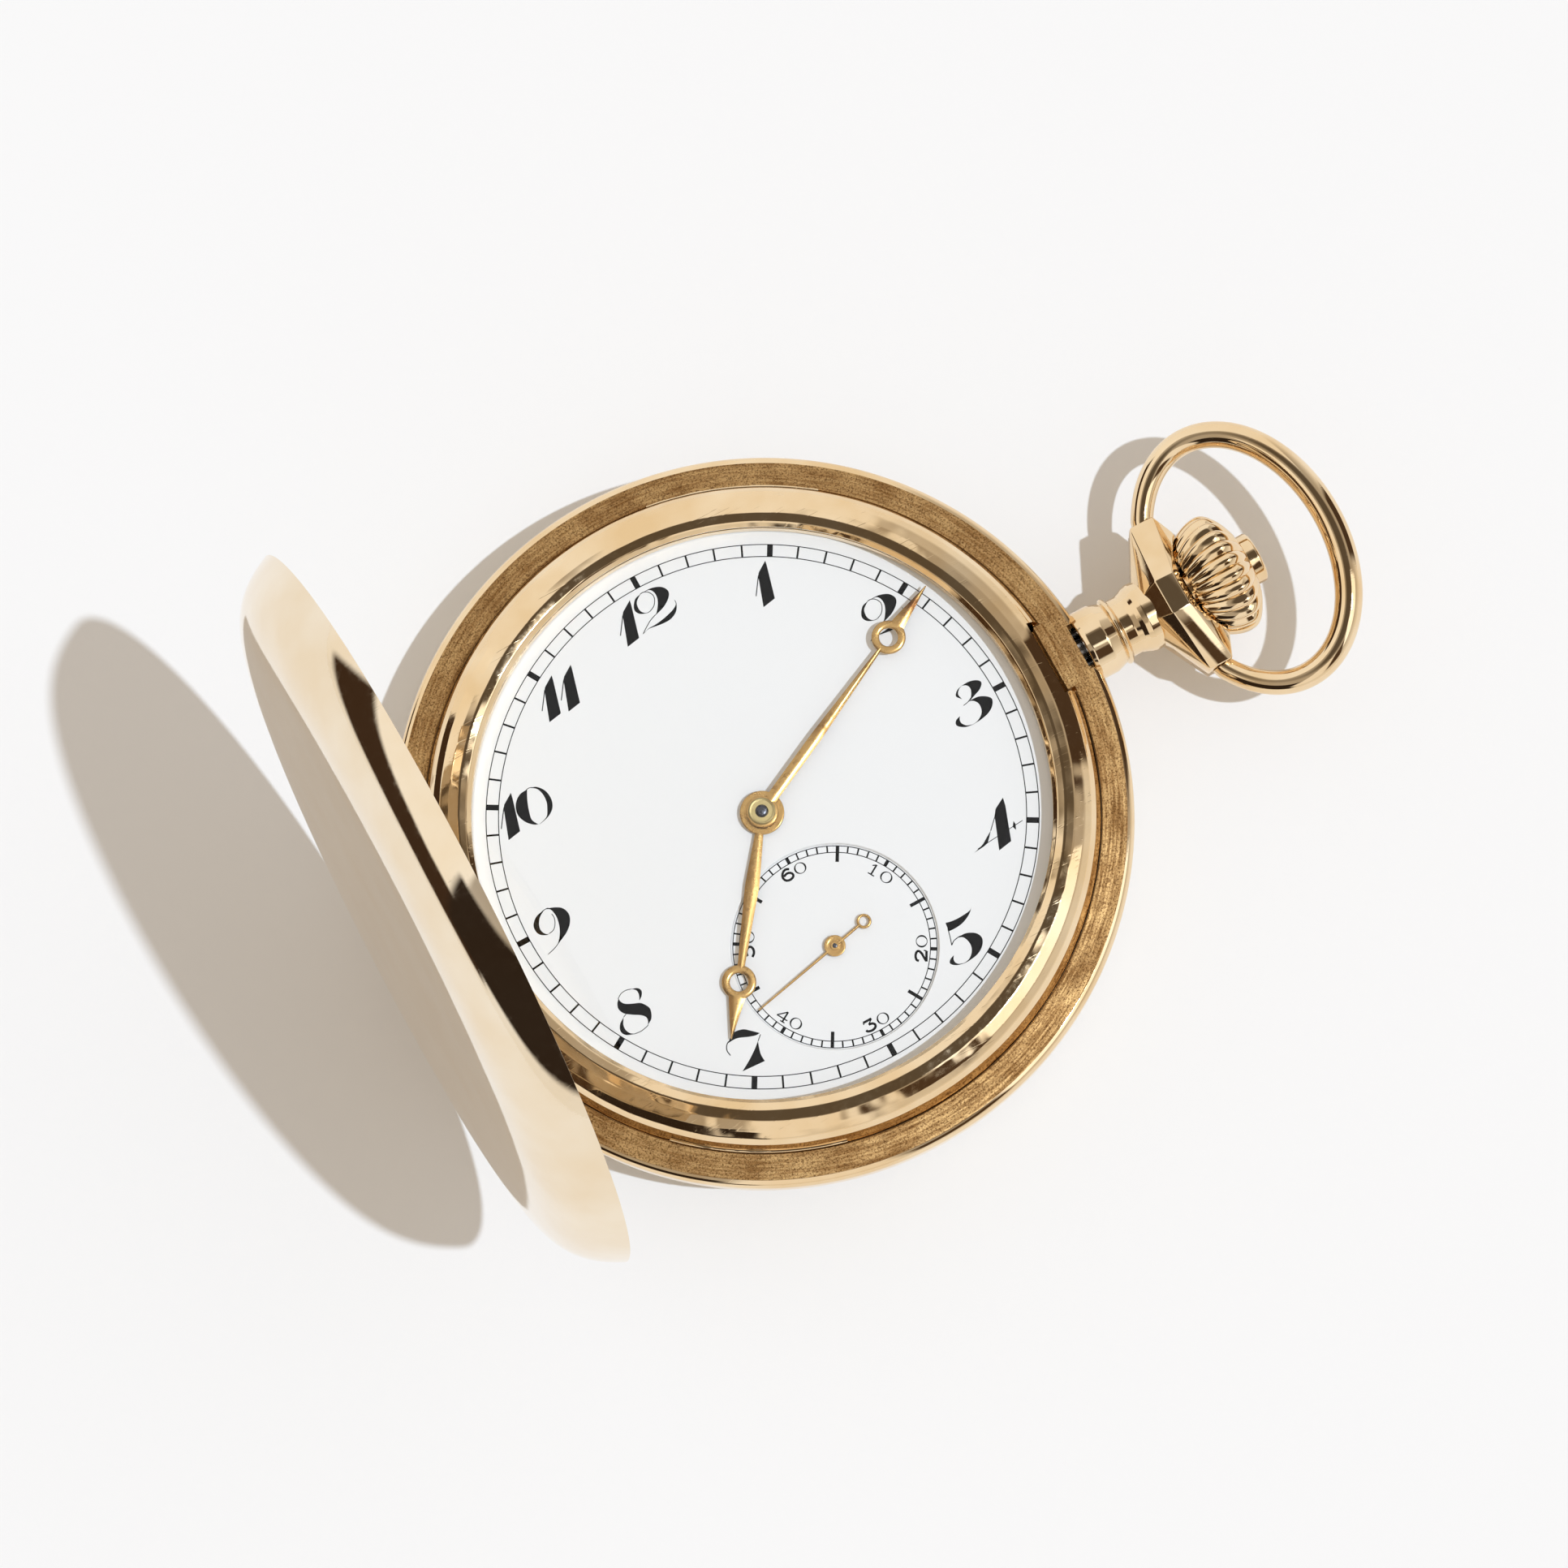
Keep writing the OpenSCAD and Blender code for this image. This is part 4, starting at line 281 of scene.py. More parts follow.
def closeMesh(thing, autoAngle=30):
    # doubles are merged, faces turned outwards, edges sharper than the angle kept crisp
    work = bmesh.new()
    work.from_mesh(thing.data)
    bmesh.ops.remove_doubles(work, verts=work.verts, dist=mergeGap)
    bmesh.ops.recalc_face_normals(work, faces=work.faces)
    work.to_mesh(thing.data)
    work.free()
    thing.data.shade_smooth()
    thing.data.set_sharp_from_angle(angle=math.radians(autoAngle))


def meshPiece(name, verts, faces, metals, spots=None, autoAngle=30):
    # spots holds the number of each face's material
    mesh = bpy.data.meshes.new(name)
    faces = faces.tolist() if isinstance(faces, np.ndarray) else faces
    mesh.from_pydata((np.asarray(verts) * mm).tolist(), [], faces)
    thing = addThing(name, mesh, [metals] if isinstance(metals, str) else metals)
    if spots is not None:
        mesh.polygons.foreach_set("material_index", np.asarray(spots, dtype=np.int32))
    closeMesh(thing, autoAngle)
    return thing


def pointsOf(thing):
    coords = np.empty(len(thing.data.vertices) * 3)
    thing.data.vertices.foreach_get("co", coords)
    return coords.reshape(-1, 3).T


def laidBy(rule, thing):
    # the rule turns the mesh's x, y, z, in metres, into new ones
    laid = np.stack(rule(*pointsOf(thing)), 1)
    thing.data.vertices.foreach_set("co", laid.ravel())
    thing.data.update()
    return thing


def alongX(thing, at):
    # a piece turned round Z is laid along +X at the stem's height
    return laidBy(lambda x, y, z: (z + at * mm, y, case["stemZ"] * mm - x), thing)


def tilted(thing, axisX, axisZ, degrees):
    # turned round a line along Y, as OpenSCAD's rotate about Y does
    a, midX, midZ = math.radians(degrees), axisX * mm, axisZ * mm
    c, s = math.cos(a), math.sin(a)
    return laidBy(lambda x, y, z: (midX + (x - midX) * c + (z - midZ) * s, y,
                                   midZ - (x - midX) * s + (z - midZ) * c), thing)


def moved(thing, dx, dy):
    # along X and Y
    return laidBy(lambda x, y, z: (x + dx * mm, y + dy * mm, z), thing)


def softPath(points, steps=5):
    # a closed outline whose corners are rounded: each point is (a, b, radius); radius 0 keeps it sharp
    pts = np.array([p[:2] for p in points], dtype=float)
    out = []
    count = len(pts)
    for i in range(count):
        radius = points[i][2] if len(points[i]) > 2 else 0
        here = pts[i]
        back = pts[i - 1] - here
        ahead = pts[(i + 1) % count] - here
        lb, la = np.linalg.norm(back), np.linalg.norm(ahead)
        back, ahead = back / lb, ahead / la
        half = math.acos(np.clip(np.dot(back, ahead), -1, 1)) / 2
        if radius <= 0 or half > math.radians(89.5):
            out.append(here[None])
            continue
        cut = min(radius / math.tan(half), 0.45 * lb, 0.45 * la)
        radius = cut * math.tan(half)
        centre = here + (back + ahead) / np.linalg.norm(back + ahead) * (radius / math.sin(half))
        first, last = here + back * cut, here + ahead * cut
        a0 = math.atan2(*(first - centre)[::-1])
        a1 = math.atan2(*(last - centre)[::-1])
        turn = (a1 - a0 + math.pi) % (2 * math.pi) - math.pi
        angles = a0 + turn * np.linspace(0, 1, steps + 1)
        edge = min(0.03, 0.3 * (lb - cut), 0.3 * (la - cut))
        arc = centre + radius * np.stack([np.cos(angles), np.sin(angles)], 1)
        out.append(np.vstack([first + back * edge, arc, last + ahead * edge]))
    return np.vstack(out)


def arcPoints(cx, cy, radius, start, stop, count):
    # sharp corners on an arc round (cx, cy), from one angle to the other in degrees
    angles = np.radians(np.linspace(start, stop, count + 1))
    return [(cx + radius * math.cos(a), cy + radius * math.sin(a), 0) for a in angles]


def quadGrid(rows, lines, sides, columns):
    # quads between neighbours on a grid of lines x columns points, closed where quads are as many as points
    i, j = np.meshgrid(np.arange(rows), np.arange(sides), indexing="ij")
    here, below = i * columns, (i + 1) % lines * columns
    j2 = (j + 1) % columns
    return np.stack([here + j, here + j2, below + j2, below + j], -1).reshape(-1, 4)


def turned(outline, count, metals, name, marks=None, start=0.0, sweep=360.0):
    # the outline (r, z) turned round Z: every point goes round in a ring, and neighbours are joined by quads
    outline = np.asarray(outline)
    full = sweep >= 360
    m, n = len(outline), count if full else count + 1
    angles = np.radians(start + sweep * np.arange(n) / count)
    ring = np.stack([np.cos(angles), np.sin(angles)], 1)
    flat = outline[:, None, 0, None] * ring[None]
    high = np.repeat(outline[:, 1][:, None], n, 1)[..., None]
    verts = np.concatenate([flat, high], 2).reshape(-1, 3)
    faces = quadGrid(m, m, count, n)
    if not full:
        faces = faces.tolist() + [[k * n for k in range(m)], [k * n + n - 1 for k in range(m)][::-1]]
    return meshPiece(name, verts, faces, metals, None if marks is None else np.repeat(marks, count))


def cylinderAlong(axis, centre, radius, start, stop, metal, name, count=64, chamfer=0.0):
    # a cylinder along one axis, with its end edges rounded
    outline = softPath([(0, start), (radius, start, chamfer), (radius, stop, chamfer), (0, stop)], 3)
    cx, cy, cz = np.array(centre) * mm
    rules = {"x": lambda x, y, z: (z + cx, x + cy, y + cz), "y": lambda x, y, z: (x + cx, z + cy, cz - y),
             "z": lambda x, y, z: (x + cx, y + cy, z + cz)}
    thing = laidBy(rules[axis], turned(outline, count, metal, name))
    closeMesh(thing)
    return thing


def stemCylinder(radius, start, stop, metal, name, y=0.0, count=64):
    # along the stem's line
    return cylinderAlong("x", (0, y, case["stemZ"]), radius, start, stop, metal, name, count)


def earCylinders(radius, near, far, name, count=64):
    # a pair on the bow's line, from near to far on each side
    return [cylinderAlong("y", (case["pivotX"], 0, case["stemZ"]), radius, *sorted((s * near, s * far)),
                          "caseGold", name, count) for s in (-1, 1)]


def boxBetween(low, high, metal, name):
    # a box between two opposite corners
    corners = [[(low, high)[k >> axis & 1][axis] for axis in range(3)] for k in range(8)]
    sides = [[0, 2, 3, 1], [4, 5, 7, 6], [0, 1, 5, 4], [2, 6, 7, 3], [0, 4, 6, 2], [1, 3, 7, 5]]
    return meshPiece(name, corners, sides, metal)


def knuckleRow(hinge, part, metal, grow=0.0):
    # every other knuckle of a hinge, from the first (part 0) or the second (part 1); grown, they cut room
    sizes = hinges[hinge]
    step = sizes["length"] / sizes["knuckles"]
    rows = []
    for i in range(part, sizes["knuckles"], 2):
        start = -sizes["length"] / 2 + i * step - grow + case["sideGap"] / 2
        rows.append(cylinderAlong("y", (sizes["x"], 0, sizes["z"]), sizes["r"] + grow, start,
                                  start + step + 2 * grow - case["sideGap"], metal,
                                  "knuckle", 48, 0.0 if grow else 0.06))
    return rows


def cutAway(thing, cutters):
    # the cutters are taken away from the piece and removed
    for cutter in cutters:
        change = thing.modifiers.new("cut", "BOOLEAN")
        change.operation = "DIFFERENCE"
        change.solver = "EXACT"
        change.object = cutter
    graph = bpy.context.evaluated_depsgraph_get()
    mesh = bpy.data.meshes.new_from_object(thing.evaluated_get(graph))
    thing.modifiers.clear()
    thing.data = mesh
    for cutter in cutters:
        bpy.data.objects.remove(cutter)
    closeMesh(thing)


def joined(name, things):
    # several meshes in one; material slots are matched by material
    materials = []
    for thing in things:
        materials += [entry for entry in thing.data.materials if entry not in materials]
    work = bmesh.new()
    for thing in things:
        before = len(work.faces)
        work.from_mesh(thing.data)
        work.faces.ensure_lookup_table()
        slots = [materials.index(entry) for entry in thing.data.materials]
        for face in work.faces[before:]:
            face.material_index = slots[face.material_index]
    mesh = bpy.data.meshes.new(name)
    work.to_mesh(mesh)
    work.free()
    for entry in materials:
        mesh.materials.append(entry)
    for thing in things:
        bpy.data.objects.remove(thing)
    return addThing(name, mesh)


print("shape tools ready")

# ---- case band with the neck and the pendant head
bandSizes = {"edgeRound": 0.06, "rimRound": 0.6}
neck = {"r": 2.6, "waistR": 2.2, "boreR": 1.8, "stemR": 0.83, "rodY": 1.25, "rodR": 0.28}
# blocks of the head: x from and to beside the bow's line, half width, half height
head = {"setBack": 0.1, "collar": (-2.9, -2.3), "blocks": [(-1.6, -0.2, 1.3, 3.2), (-1.0, 0.8, 5.8, 1.3),
                                                           (-0.4, 1.5, 4.1, 1.3)],
        "bevel": 0.09, "bevelSteps": 3, "studHoleR": 0.48, "studHole": (4.6, 7.6)}


def bandOutline():
    # the ring's section; the marks tell the worn seats, top and bottom, from the polished rest
    e, rim = bandSizes["edgeRound"], bandSizes["rimRound"]
    top, low, outR = case["seatEdge"], case["backEdge"], case["lidR"]
    mid, half = (top + low) / 2, (top - low) / 2
    points = [(21.95, 7.5, 0.04), (22.3, 7.5, 0.03), (22.3, 5.6), (23.3, 5.6), (23.3, 7.5, 0.03), (23.7, 7.5),
              (23.7, case["seatTop"], e), (25.5, top, e)]
    points += arcPoints(outR, mid + half - rim, rim, 75, 0, 12)
    points += arcPoints(outR, mid - half + rim, rim, 0, -75, 12)
    points += [(25.5, low, e), (23.7, case["backTop"], e), (22.97, 4.5, 0.05), (22.97, 4.8),
               (21.5, 4.8, 0.05), (21.5, 6.9, 0.05), (21.95, 6.9)]
    outline = softPath(points)
    r, z = (outline + np.roll(outline, -1, 0)).T / 2
    return outline, ((r > 23.72) & (r < 25.46) & ((z > 7.36) | (z < 4.94))).astype(int)


bandOuter, bandMarks = bandOutline()
band = turned(bandOuter, case["round"], ["caseGold", "seatGold"], "bandRing", bandMarks)
gap = case["sideGap"]
cutters = [knuckle for hinge in hinges for knuckle in knuckleRow(hinge, 1, "caseGold", gap)]
cutters += [stemCylinder(neck["stemR"], 21.0, 30.0, "caseGold", "stemBore"),
            stemCylinder(neck["boreR"] + 0.03, 25.2, 28.0, "caseGold", "sleeveRoom"),
            boxBetween((25.2, -1.75, 6.9), (25.6, 1.75, 8.5), "seatGold", "neckSlit")]
cutters += [stemCylinder(neck["rodR"], 22.5, 27.5, "caseGold", "rodBore", s * neck["rodY"]) for s in (-1, 1)]
cutAway(band, cutters)


def neckOutline():
    # a tube with a collar at each end and a ring round its waist
    r, waistR, boreR = neck["r"], neck["waistR"], neck["boreR"]
    end = case["headEndX"] - case["neckX"] - 2.2
    points = [(boreR, 0.0), (r - 0.15, 0.0, 0.1), (r, 0.35, 0.3), (r, 1.6, 0.5), (waistR + 0.12, 2.4, 0.06)]
    points += arcPoints(waistR + 0.12, 2.65, 0.22, -80, 80, 10)
    points += [(waistR, 2.95, 0.06), (waistR, 3.7, 0.4), (waistR + 0.15, 4.1, 0.3), (r - 0.1, 4.4, 0.2),
               (r, 4.75, 0.25), (r - 0.1, end, 0.05), (boreR, end, 0.05)]
    return softPath(points)


neckPiece = alongX(turned(neckOutline(), 160, "caseGold", "neckTube"), case["neckX"])


def headSolid():
    # the pendant head: hull of an octagon on the neck, a tall block at the middle and the two ears
    x, z, r = case["pivotX"] - head["setBack"], case["stemZ"], neck["r"] - 0.25
    turns = [math.radians(22.5 + 45 * k) for k in range(8)]
    points = [(x + dx, r * math.sin(a), z + r * math.cos(a)) for a in turns for dx in head["collar"]]
    for near, far, wide, high in head["blocks"]:
        points += [(x + dx, y, z + up) for dx in (near, far) for y in (-wide, wide) for up in (-high, high)]
    work = bmesh.new()
    for p in points:
        work.verts.new([c * mm for c in p])
    hull = bmesh.ops.convex_hull(work, input=work.verts)
    spare = [g for g in hull["geom_interior"] + hull["geom_unused"] if isinstance(g, bmesh.types.BMVert)]
    bmesh.ops.delete(work, geom=list(set(spare)), context="VERTS")
    bmesh.ops.dissolve_limit(work, angle_limit=math.radians(1), verts=work.verts, edges=work.edges)
    bmesh.ops.bevel(work, geom=list(work.edges), offset=head["bevel"] * mm,
                    segments=head["bevelSteps"], profile=0.5, affect="EDGES", clamp_overlap=True)
    mesh = bpy.data.meshes.new("headSolid")
    work.to_mesh(mesh)
    work.free()
    thing = addThing("headSolid", mesh, ["caseGold"])
    closeMesh(thing)
    return thing


headPiece = headSolid()
room = turned(np.array([(0, 0), (3.27, 0), (4.62, 2.2), (0, 2.2)]), 128, "caseGold", "crownRoom")
cutters = [alongX(room, case["headEndX"]), stemCylinder(neck["boreR"], 25.0, 40.0, "caseGold", "neckBore")]
cutAway(headPiece, cutters + earCylinders(head["studHoleR"], *head["studHole"], "studHole"))
bandKnuckles = [knuckle for hinge in hinges for knuckle in knuckleRow(hinge, 0, "caseGold")]
caseBand = joined("caseBand", [band, neckPiece, headPiece] + bandKnuckles)
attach(caseBand, "case")
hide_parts("case_band")
print("case band:", len(caseBand.data.polygons), "faces")

# ---- bezel round the glass, with the catch's slot and two lips for a nail
bezelSizes = {"lipAngles": (52.0, -134.0), "lipSweep": 30.0, "catchHalf": 2.8}


def bezelOutline():
    top = case["dialZ"] + case["bezelRise"]
    points = [(22.05, 7.5), (22.05, 8.45), (20.2, 8.45, 0.05), (20.2, top - 1.08, 0.04), (20.6, top - 1.08),
              (20.6, top - 0.58), (20.2, top - 0.58, 0.03), (20.2, top - 0.42, 0.04), (20.5, top - 0.14, 0.3),
              (21.05, top, 0.5), (21.7, top - 0.1, 0.8), (22.4, top - 0.38, 0.8), (22.9, top - 0.75, 0.8),
              (23.23, top - 1.15, 0.7), (23.5, top - 2.1, 0.9), (23.65, top - 2.7, 0.4), (23.65, 7.5, 0.03)]
    return softPath(points, 6)


bezelRing = turned(bezelOutline(), case["round"], "bezelGold", "bezelRing")
half = bezelSizes["catchHalf"]
cutAway(bezelRing, [boxBetween((22.5, -half, 6.5), (25.5, half, 12.5), "bezelGold", "catchSlot")])
lipOutline = softPath([(23.3, 7.6), (23.67, 7.6, 0.05), (23.67, 8.25, 0.1), (23.3, 8.25)], 3)
lips = [turned(lipOutline, 40, "bezelGold", "nailLip", None, a, bezelSizes["lipSweep"])
        for a in bezelSizes["lipAngles"]]
bezel = joined("bezelTurned", [bezelRing] + lips)
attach(bezel, "case")
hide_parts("bezel")

# ---- crystal
glassSizes = {"r": 20.57, "rise": 0.6, "thick": 0.5, "edge": 0.42, "z": 9.34, "innerStep": 0.5}


def domeCurve(r, rise, lift, count=24):
    # an arc from the axis to the rim, on the circle that has this rise over this radius
    big = (r * r + rise * rise) / (2 * rise)
    a = np.linspace(0, math.asin(r / big), count + 1)
    return np.stack([big * np.sin(a), big * np.cos(a) + rise - big + lift], 1)


glassOuter = domeCurve(glassSizes["r"], glassSizes["rise"], glassSizes["edge"])
glassInner = domeCurve(glassSizes["r"] - glassSizes["innerStep"],
                       glassSizes["rise"] + glassSizes["edge"] - glassSizes["thick"], 0.0)
glassOutline = np.vstack([glassOuter, [[glassSizes["r"], 0.0]], glassInner[::-1]]) + [0, glassSizes["z"]]
crystal = turned(glassOutline, case["round"], "glass", "crystalGlass")
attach(crystal, "case")
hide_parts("crystal")
print("bezel and crystal made")

# ---- the three lids
lidSizes = {"wall": 0.4, "rise": 4.1, "crown": 0.3, "bend": 14, "cuvetteWall": 0.35}


def hingedCover(name, outline, hinge, metal):
    # the turned shell is cut free round the case's knuckles and gets the knuckles between them
    shell = turned(outline, case["round"], metal, "shell")
    cutAway(shell, knuckleRow(hinge, 0, metal, gap))
    return joined(name, [shell] + knuckleRow(hinge, 1, metal))


def lidOutline():
    # outside: a shallow dome plus a high power of the radius, which turns it down to the rim in one bend;
    # inside: the same curve moved in along its normal by the wall, then the solid rim on the seat
    rimZ, seatTop = case["seatEdge"] + 0.03, case["seatTop"]
    crown, bend, lidR = lidSizes["crown"], lidSizes["bend"], case["lidR"]
    high = lidSizes["rise"] - crown
    r = np.append(lidR, lidR * np.sin(np.linspace(0.985, 0, 90) * math.pi / 2))
    outer = np.stack([r, rimZ + high * (1 - (r / lidR) ** bend) + crown * (1 - (r / lidR) ** 2)], 1)
    r = (lidR - 0.88) * np.sin(np.linspace(0, 1, 70) * math.pi / 2)
    slope = (high * bend * (r / lidR) ** (bend - 1) + 2 * crown * r / lidR) / lidR
    k = lidSizes["wall"] / np.hypot(1, slope)
    innerZ = rimZ + high * (1 - (r / lidR) ** bend) + crown * (1 - (r / lidR) ** 2) - k
    inner = np.stack([r - k * slope, innerZ], 1)
    points = [(*outer[0], 0.05)] + [(*p, 0) for p in outer[1:]] + [(*p, 0) for p in inner]
    points += [(24.07, seatTop + 0.75, 0.04), (24.07, seatTop + 0.6, 0.04), (23.72, seatTop + 0.5, 0.04),
               (23.72, seatTop + 0.03, 0.04)]
    return softPath(points)


frontLid = hingedCover("frontLid", lidOutline(), "front", "lidGold")
tilted(frontLid, hinges["front"]["x"], hinges["front"]["z"], -case["lidOpen"])
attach(frontLid, "front_cover")
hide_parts("front_lid")


def backOutline():
    # an upright rim, one bend of a large radius and a back that is nearly flat; the inside keeps the wall
    w, rimR, bendR = lidSizes["wall"], case["lidR"], 2.4
    turnZ = case["backEdge"] - 1.6
    points = [(rimR, case["backEdge"] - 0.03, 0.06), (rimR, turnZ)]
    points += arcPoints(23.0, turnZ, bendR, 0, -55, 20)[1:-1]
    points += [arcPoints(23.0, turnZ, bendR, -55, -55, 0)[0][:2] + (1.2,)]
    points += [(20, 0.42, 6.0), (16, 0.16, 8.0), (12.5, 0, 8.0), (0, 0), (0, w), (12.5, w, 8.0),
               (16, 0.16 + w, 8.0), (20, 0.42 + w, 6.0)]
    points += arcPoints(23.0, turnZ, bendR - w, -55, 0, 16)
    points += [(rimR - w, case["backTop"] - 1.0, 0.2), (24.07, case["backTop"] - 0.85, 0.1),
               (23.72, case["backTop"] - 0.4, 0.05), (23.72, case["backTop"] - 0.03, 0.05)]
    return softPath(points)


backLid = hingedCover("backLid", backOutline(), "back", "lidGold")
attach(backLid, "back_cover")
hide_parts("back_lid")


def cuvetteOutline():
    # the same kind of outline as the back lid's, with a tighter bend and a thinner wall
    w, r, bendR = lidSizes["cuvetteWall"], case["cuvetteR"], 1.1
    floor, turnZ, topZ = 0.6, 2.5, 4.77
    points = [(r, topZ, 0.05), (r, turnZ)]
    points += arcPoints(r - bendR, turnZ, bendR, 0, -70, 16)[1:]
    points += [(18, floor + 0.32, 6.0), (12, floor + 0.08, 8.0), (0, floor), (0, floor + w),
               (12, floor + 0.08 + w, 8.0), (18, floor + 0.32 + w, 6.0)]
    points += arcPoints(r - bendR, turnZ, bendR - w, -70, 0, 12)
    points += [(r - w, topZ, 0.05)]
    return softPath(points)


cuvette = hingedCover("dustCover", cuvetteOutline(), "cuvette", "caseGold")
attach(cuvette, "dust_cover")
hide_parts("cuvette")
print("lids made")

# ---- bow
bowSizes = {"reach": 11.65, "halfWidth": 9.45, "wireFar": 1.0, "wireNear": 0.8, "tilt": 16.0,
            "rings": 320, "sides": 40, "endY": 5.86, "studR": 0.45, "stud": (4.7, 6.3)}


def bowShape():
    # an elliptical middle line from ear to ear; the wire is a circle round it, swelling toward the far end
    halfWidth, near, far = bowSizes["halfWidth"], bowSizes["wireNear"], bowSizes["wireFar"]
    m, n = bowSizes["rings"], bowSizes["sides"]
    endTurn = math.pi - math.asin(bowSizes["endY"] / halfWidth)
    a = bowSizes["reach"] / (1 - math.cos(endTurn))
    centre = bowSizes["reach"] - a
    share = np.linspace(-1, 1, m + 1)
    t = endTurn * share
    slope = np.arctan2(a * np.sin(t), halfWidth * np.cos(t))
    slope[0] = slope[-1] = math.pi
    r = near + (far - near) * np.cos(math.pi / 2 * share)
    b = np.linspace(0, 2 * math.pi, n, endpoint=False)
    x = centre + a * np.cos(t)[:, None] + (r * np.cos(slope))[:, None] * np.cos(b)
    y = halfWidth * np.sin(t)[:, None] + (r * np.sin(slope))[:, None] * np.cos(b)
    verts = np.stack([x + case["pivotX"], y, r[:, None] * np.sin(b) + case["stemZ"]], -1).reshape(-1, 3)
    faces = quadGrid(m, m + 1, n, n).tolist() + [list(range(n)), list(range(m * n, (m + 1) * n))]
    return verts, faces


bowWire = meshPiece("bowWire", *bowShape(), "caseGold")
bow = joined("bowLoop", [bowWire] + earCylinders(bowSizes["studR"], *bowSizes["stud"], "stud", 32))
tilted(bow, case["pivotX"], case["stemZ"], -bowSizes["tilt"])
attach(bow, "bow_ring")
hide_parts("bow")

# ---- crown and button; the bore's steps are (radius, x)
crownSizes = {"x": 34.15, "length": 4.5, "r": 4.47, "nearR": 3.0, "farR": 2.6, "widest": 0.62,
              "ribs": 24, "ribDepth": 0.32, "rings": 72, "perRib": 20,
              "bore": [(1.92, 38.65), (1.92, 37.45), (0.4, 37.45), (0.4, 34.15), (1.5, 34.15)]}
buttonSizes = {"r": 1.87, "x": 39.65, "rodR": 0.37, "rod": (28.7, 38.5), "barX": 28.9, "barR": 0.25,
               "bar": (-1.5, 1.5)}


def crownShape():
    # the outline's radius at each height, less a rib wave that is round on top and sharp in the valleys
    n, widest = crownSizes["ribs"] * crownSizes["perRib"], crownSizes["widest"]
    r, nearR, farR = crownSizes["r"], crownSizes["nearR"], crownSizes["farR"]
    s = np.linspace(0, 1, crownSizes["rings"] + 1)
    rise = nearR + (r - nearR) * np.sin(math.pi / 2 * np.minimum(s / widest, 1) ** 0.9)
    fall = r - (r - farR) * np.maximum((s - widest) / (1 - widest), 0) ** 2.2
    share = np.interp(s, [0, 0.06, 0.94, 1], [0.6, 1, 1, 0.5])
    b = 2 * math.pi * np.arange(n) / n
    dip = 1 - np.abs(np.cos(crownSizes["ribs"] * b / 2))
    ribbed = np.where(s < widest, rise, fall)[:, None] - crownSizes["ribDepth"] * share[:, None] * dip
    at = crownSizes["x"] + crownSizes["length"] * s
    boreR, boreX = np.array(crownSizes["bore"]).T
    radius = np.vstack([ribbed, np.repeat(boreR[:, None], n, 1)])
    x = np.broadcast_to(np.append(at, boreX)[:, None], radius.shape)
    verts = np.stack([x, radius * np.cos(b), case["stemZ"] + radius * np.sin(b)], -1).reshape(-1, 3)
    m = len(radius)
    return verts, quadGrid(m, m, n, n)


crown = meshPiece("crownRibbed", *crownShape(), "caseGold", None, 40)
sleeve = alongX(turned(softPath([(0.8, -1.6), (1.77, -1.6, 0.05), (1.77, 0.4), (0.8, 0.4)]), 96,
                       "caseGold", "crownTube"), crownSizes["x"])
crownPiece = joined("crownKnob", [crown, sleeve])
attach(crownPiece, "crown_body")
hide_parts("crown")
buttonR = buttonSizes["r"]
buttonOutline = softPath([(0, -0.35), (buttonR, -0.35, 0.03), (buttonR, 1.0, 0.22), (0, 1.0)])
cap = alongX(turned(buttonOutline, 128, "bezelGold", "buttonCap"), buttonSizes["x"] - 1.0)
rod = stemCylinder(buttonSizes["rodR"], *buttonSizes["rod"], "steel", "buttonRod", 0.0, 32)
bar = cylinderAlong("z", (buttonSizes["barX"], 0, case["stemZ"]), buttonSizes["barR"], *buttonSizes["bar"],
                    "steel", "buttonBar", 24)
button = joined("crownButton", [cap, rod, bar])
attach(button, "button_body")
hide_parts("crown_button")
print("bow, crown and button made")

# ---- enamel dial with the sunk seconds dial
dialSizes = {"r": 20.7, "hole": 1.2, "secondsHole": 0.4, "round": 256}
dialZ, plateTop, secondsR = case["dialZ"], case["plateTop"], case["secondsR"]
lowZ = dialZ - case["secondsSink"]


def secondsTurned(outline, name):
    # turned round the seconds hand's post
    return moved(turned(outline, dialSizes["round"], "enamel", name), *case["secondsAt"])


hole, dialR = dialSizes["hole"], dialSizes["r"]
dialDisc = turned(softPath([(hole, plateTop), (dialR, plateTop), (dialR, dialZ, 0.08), (hole, dialZ, 0.08)]),
                  dialSizes["round"], "enamel", "dialDisc")
secondsHole = np.array([(0, 7.0), (secondsR, 7.0), (secondsR, 9.0), (0, 9.0)])
cutAway(dialDisc, [secondsTurned(secondsHole, "dialHole")])
step = secondsTurned(softPath([(secondsR, dialZ, 0.0), (secondsR - 0.05, dialZ - 0.01, 0.04),
                               (secondsR - 0.14, lowZ + 0.01, 0.05), (secondsR - 0.18, lowZ - 0.02),
                               (secondsR, lowZ - 0.02)]), "dialStep")
dialPiece = joined("dialEnamel", [dialDisc, step])
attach(dialPiece, "case")
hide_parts("dial")
hole = dialSizes["secondsHole"]
secondsPiece = secondsTurned(softPath([(hole, plateTop), (secondsR, plateTop), (secondsR, lowZ),
                                       (hole, lowZ, 0.05)]), "secondsEnamel")
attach(secondsPiece, "case")
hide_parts("seconds_dial")

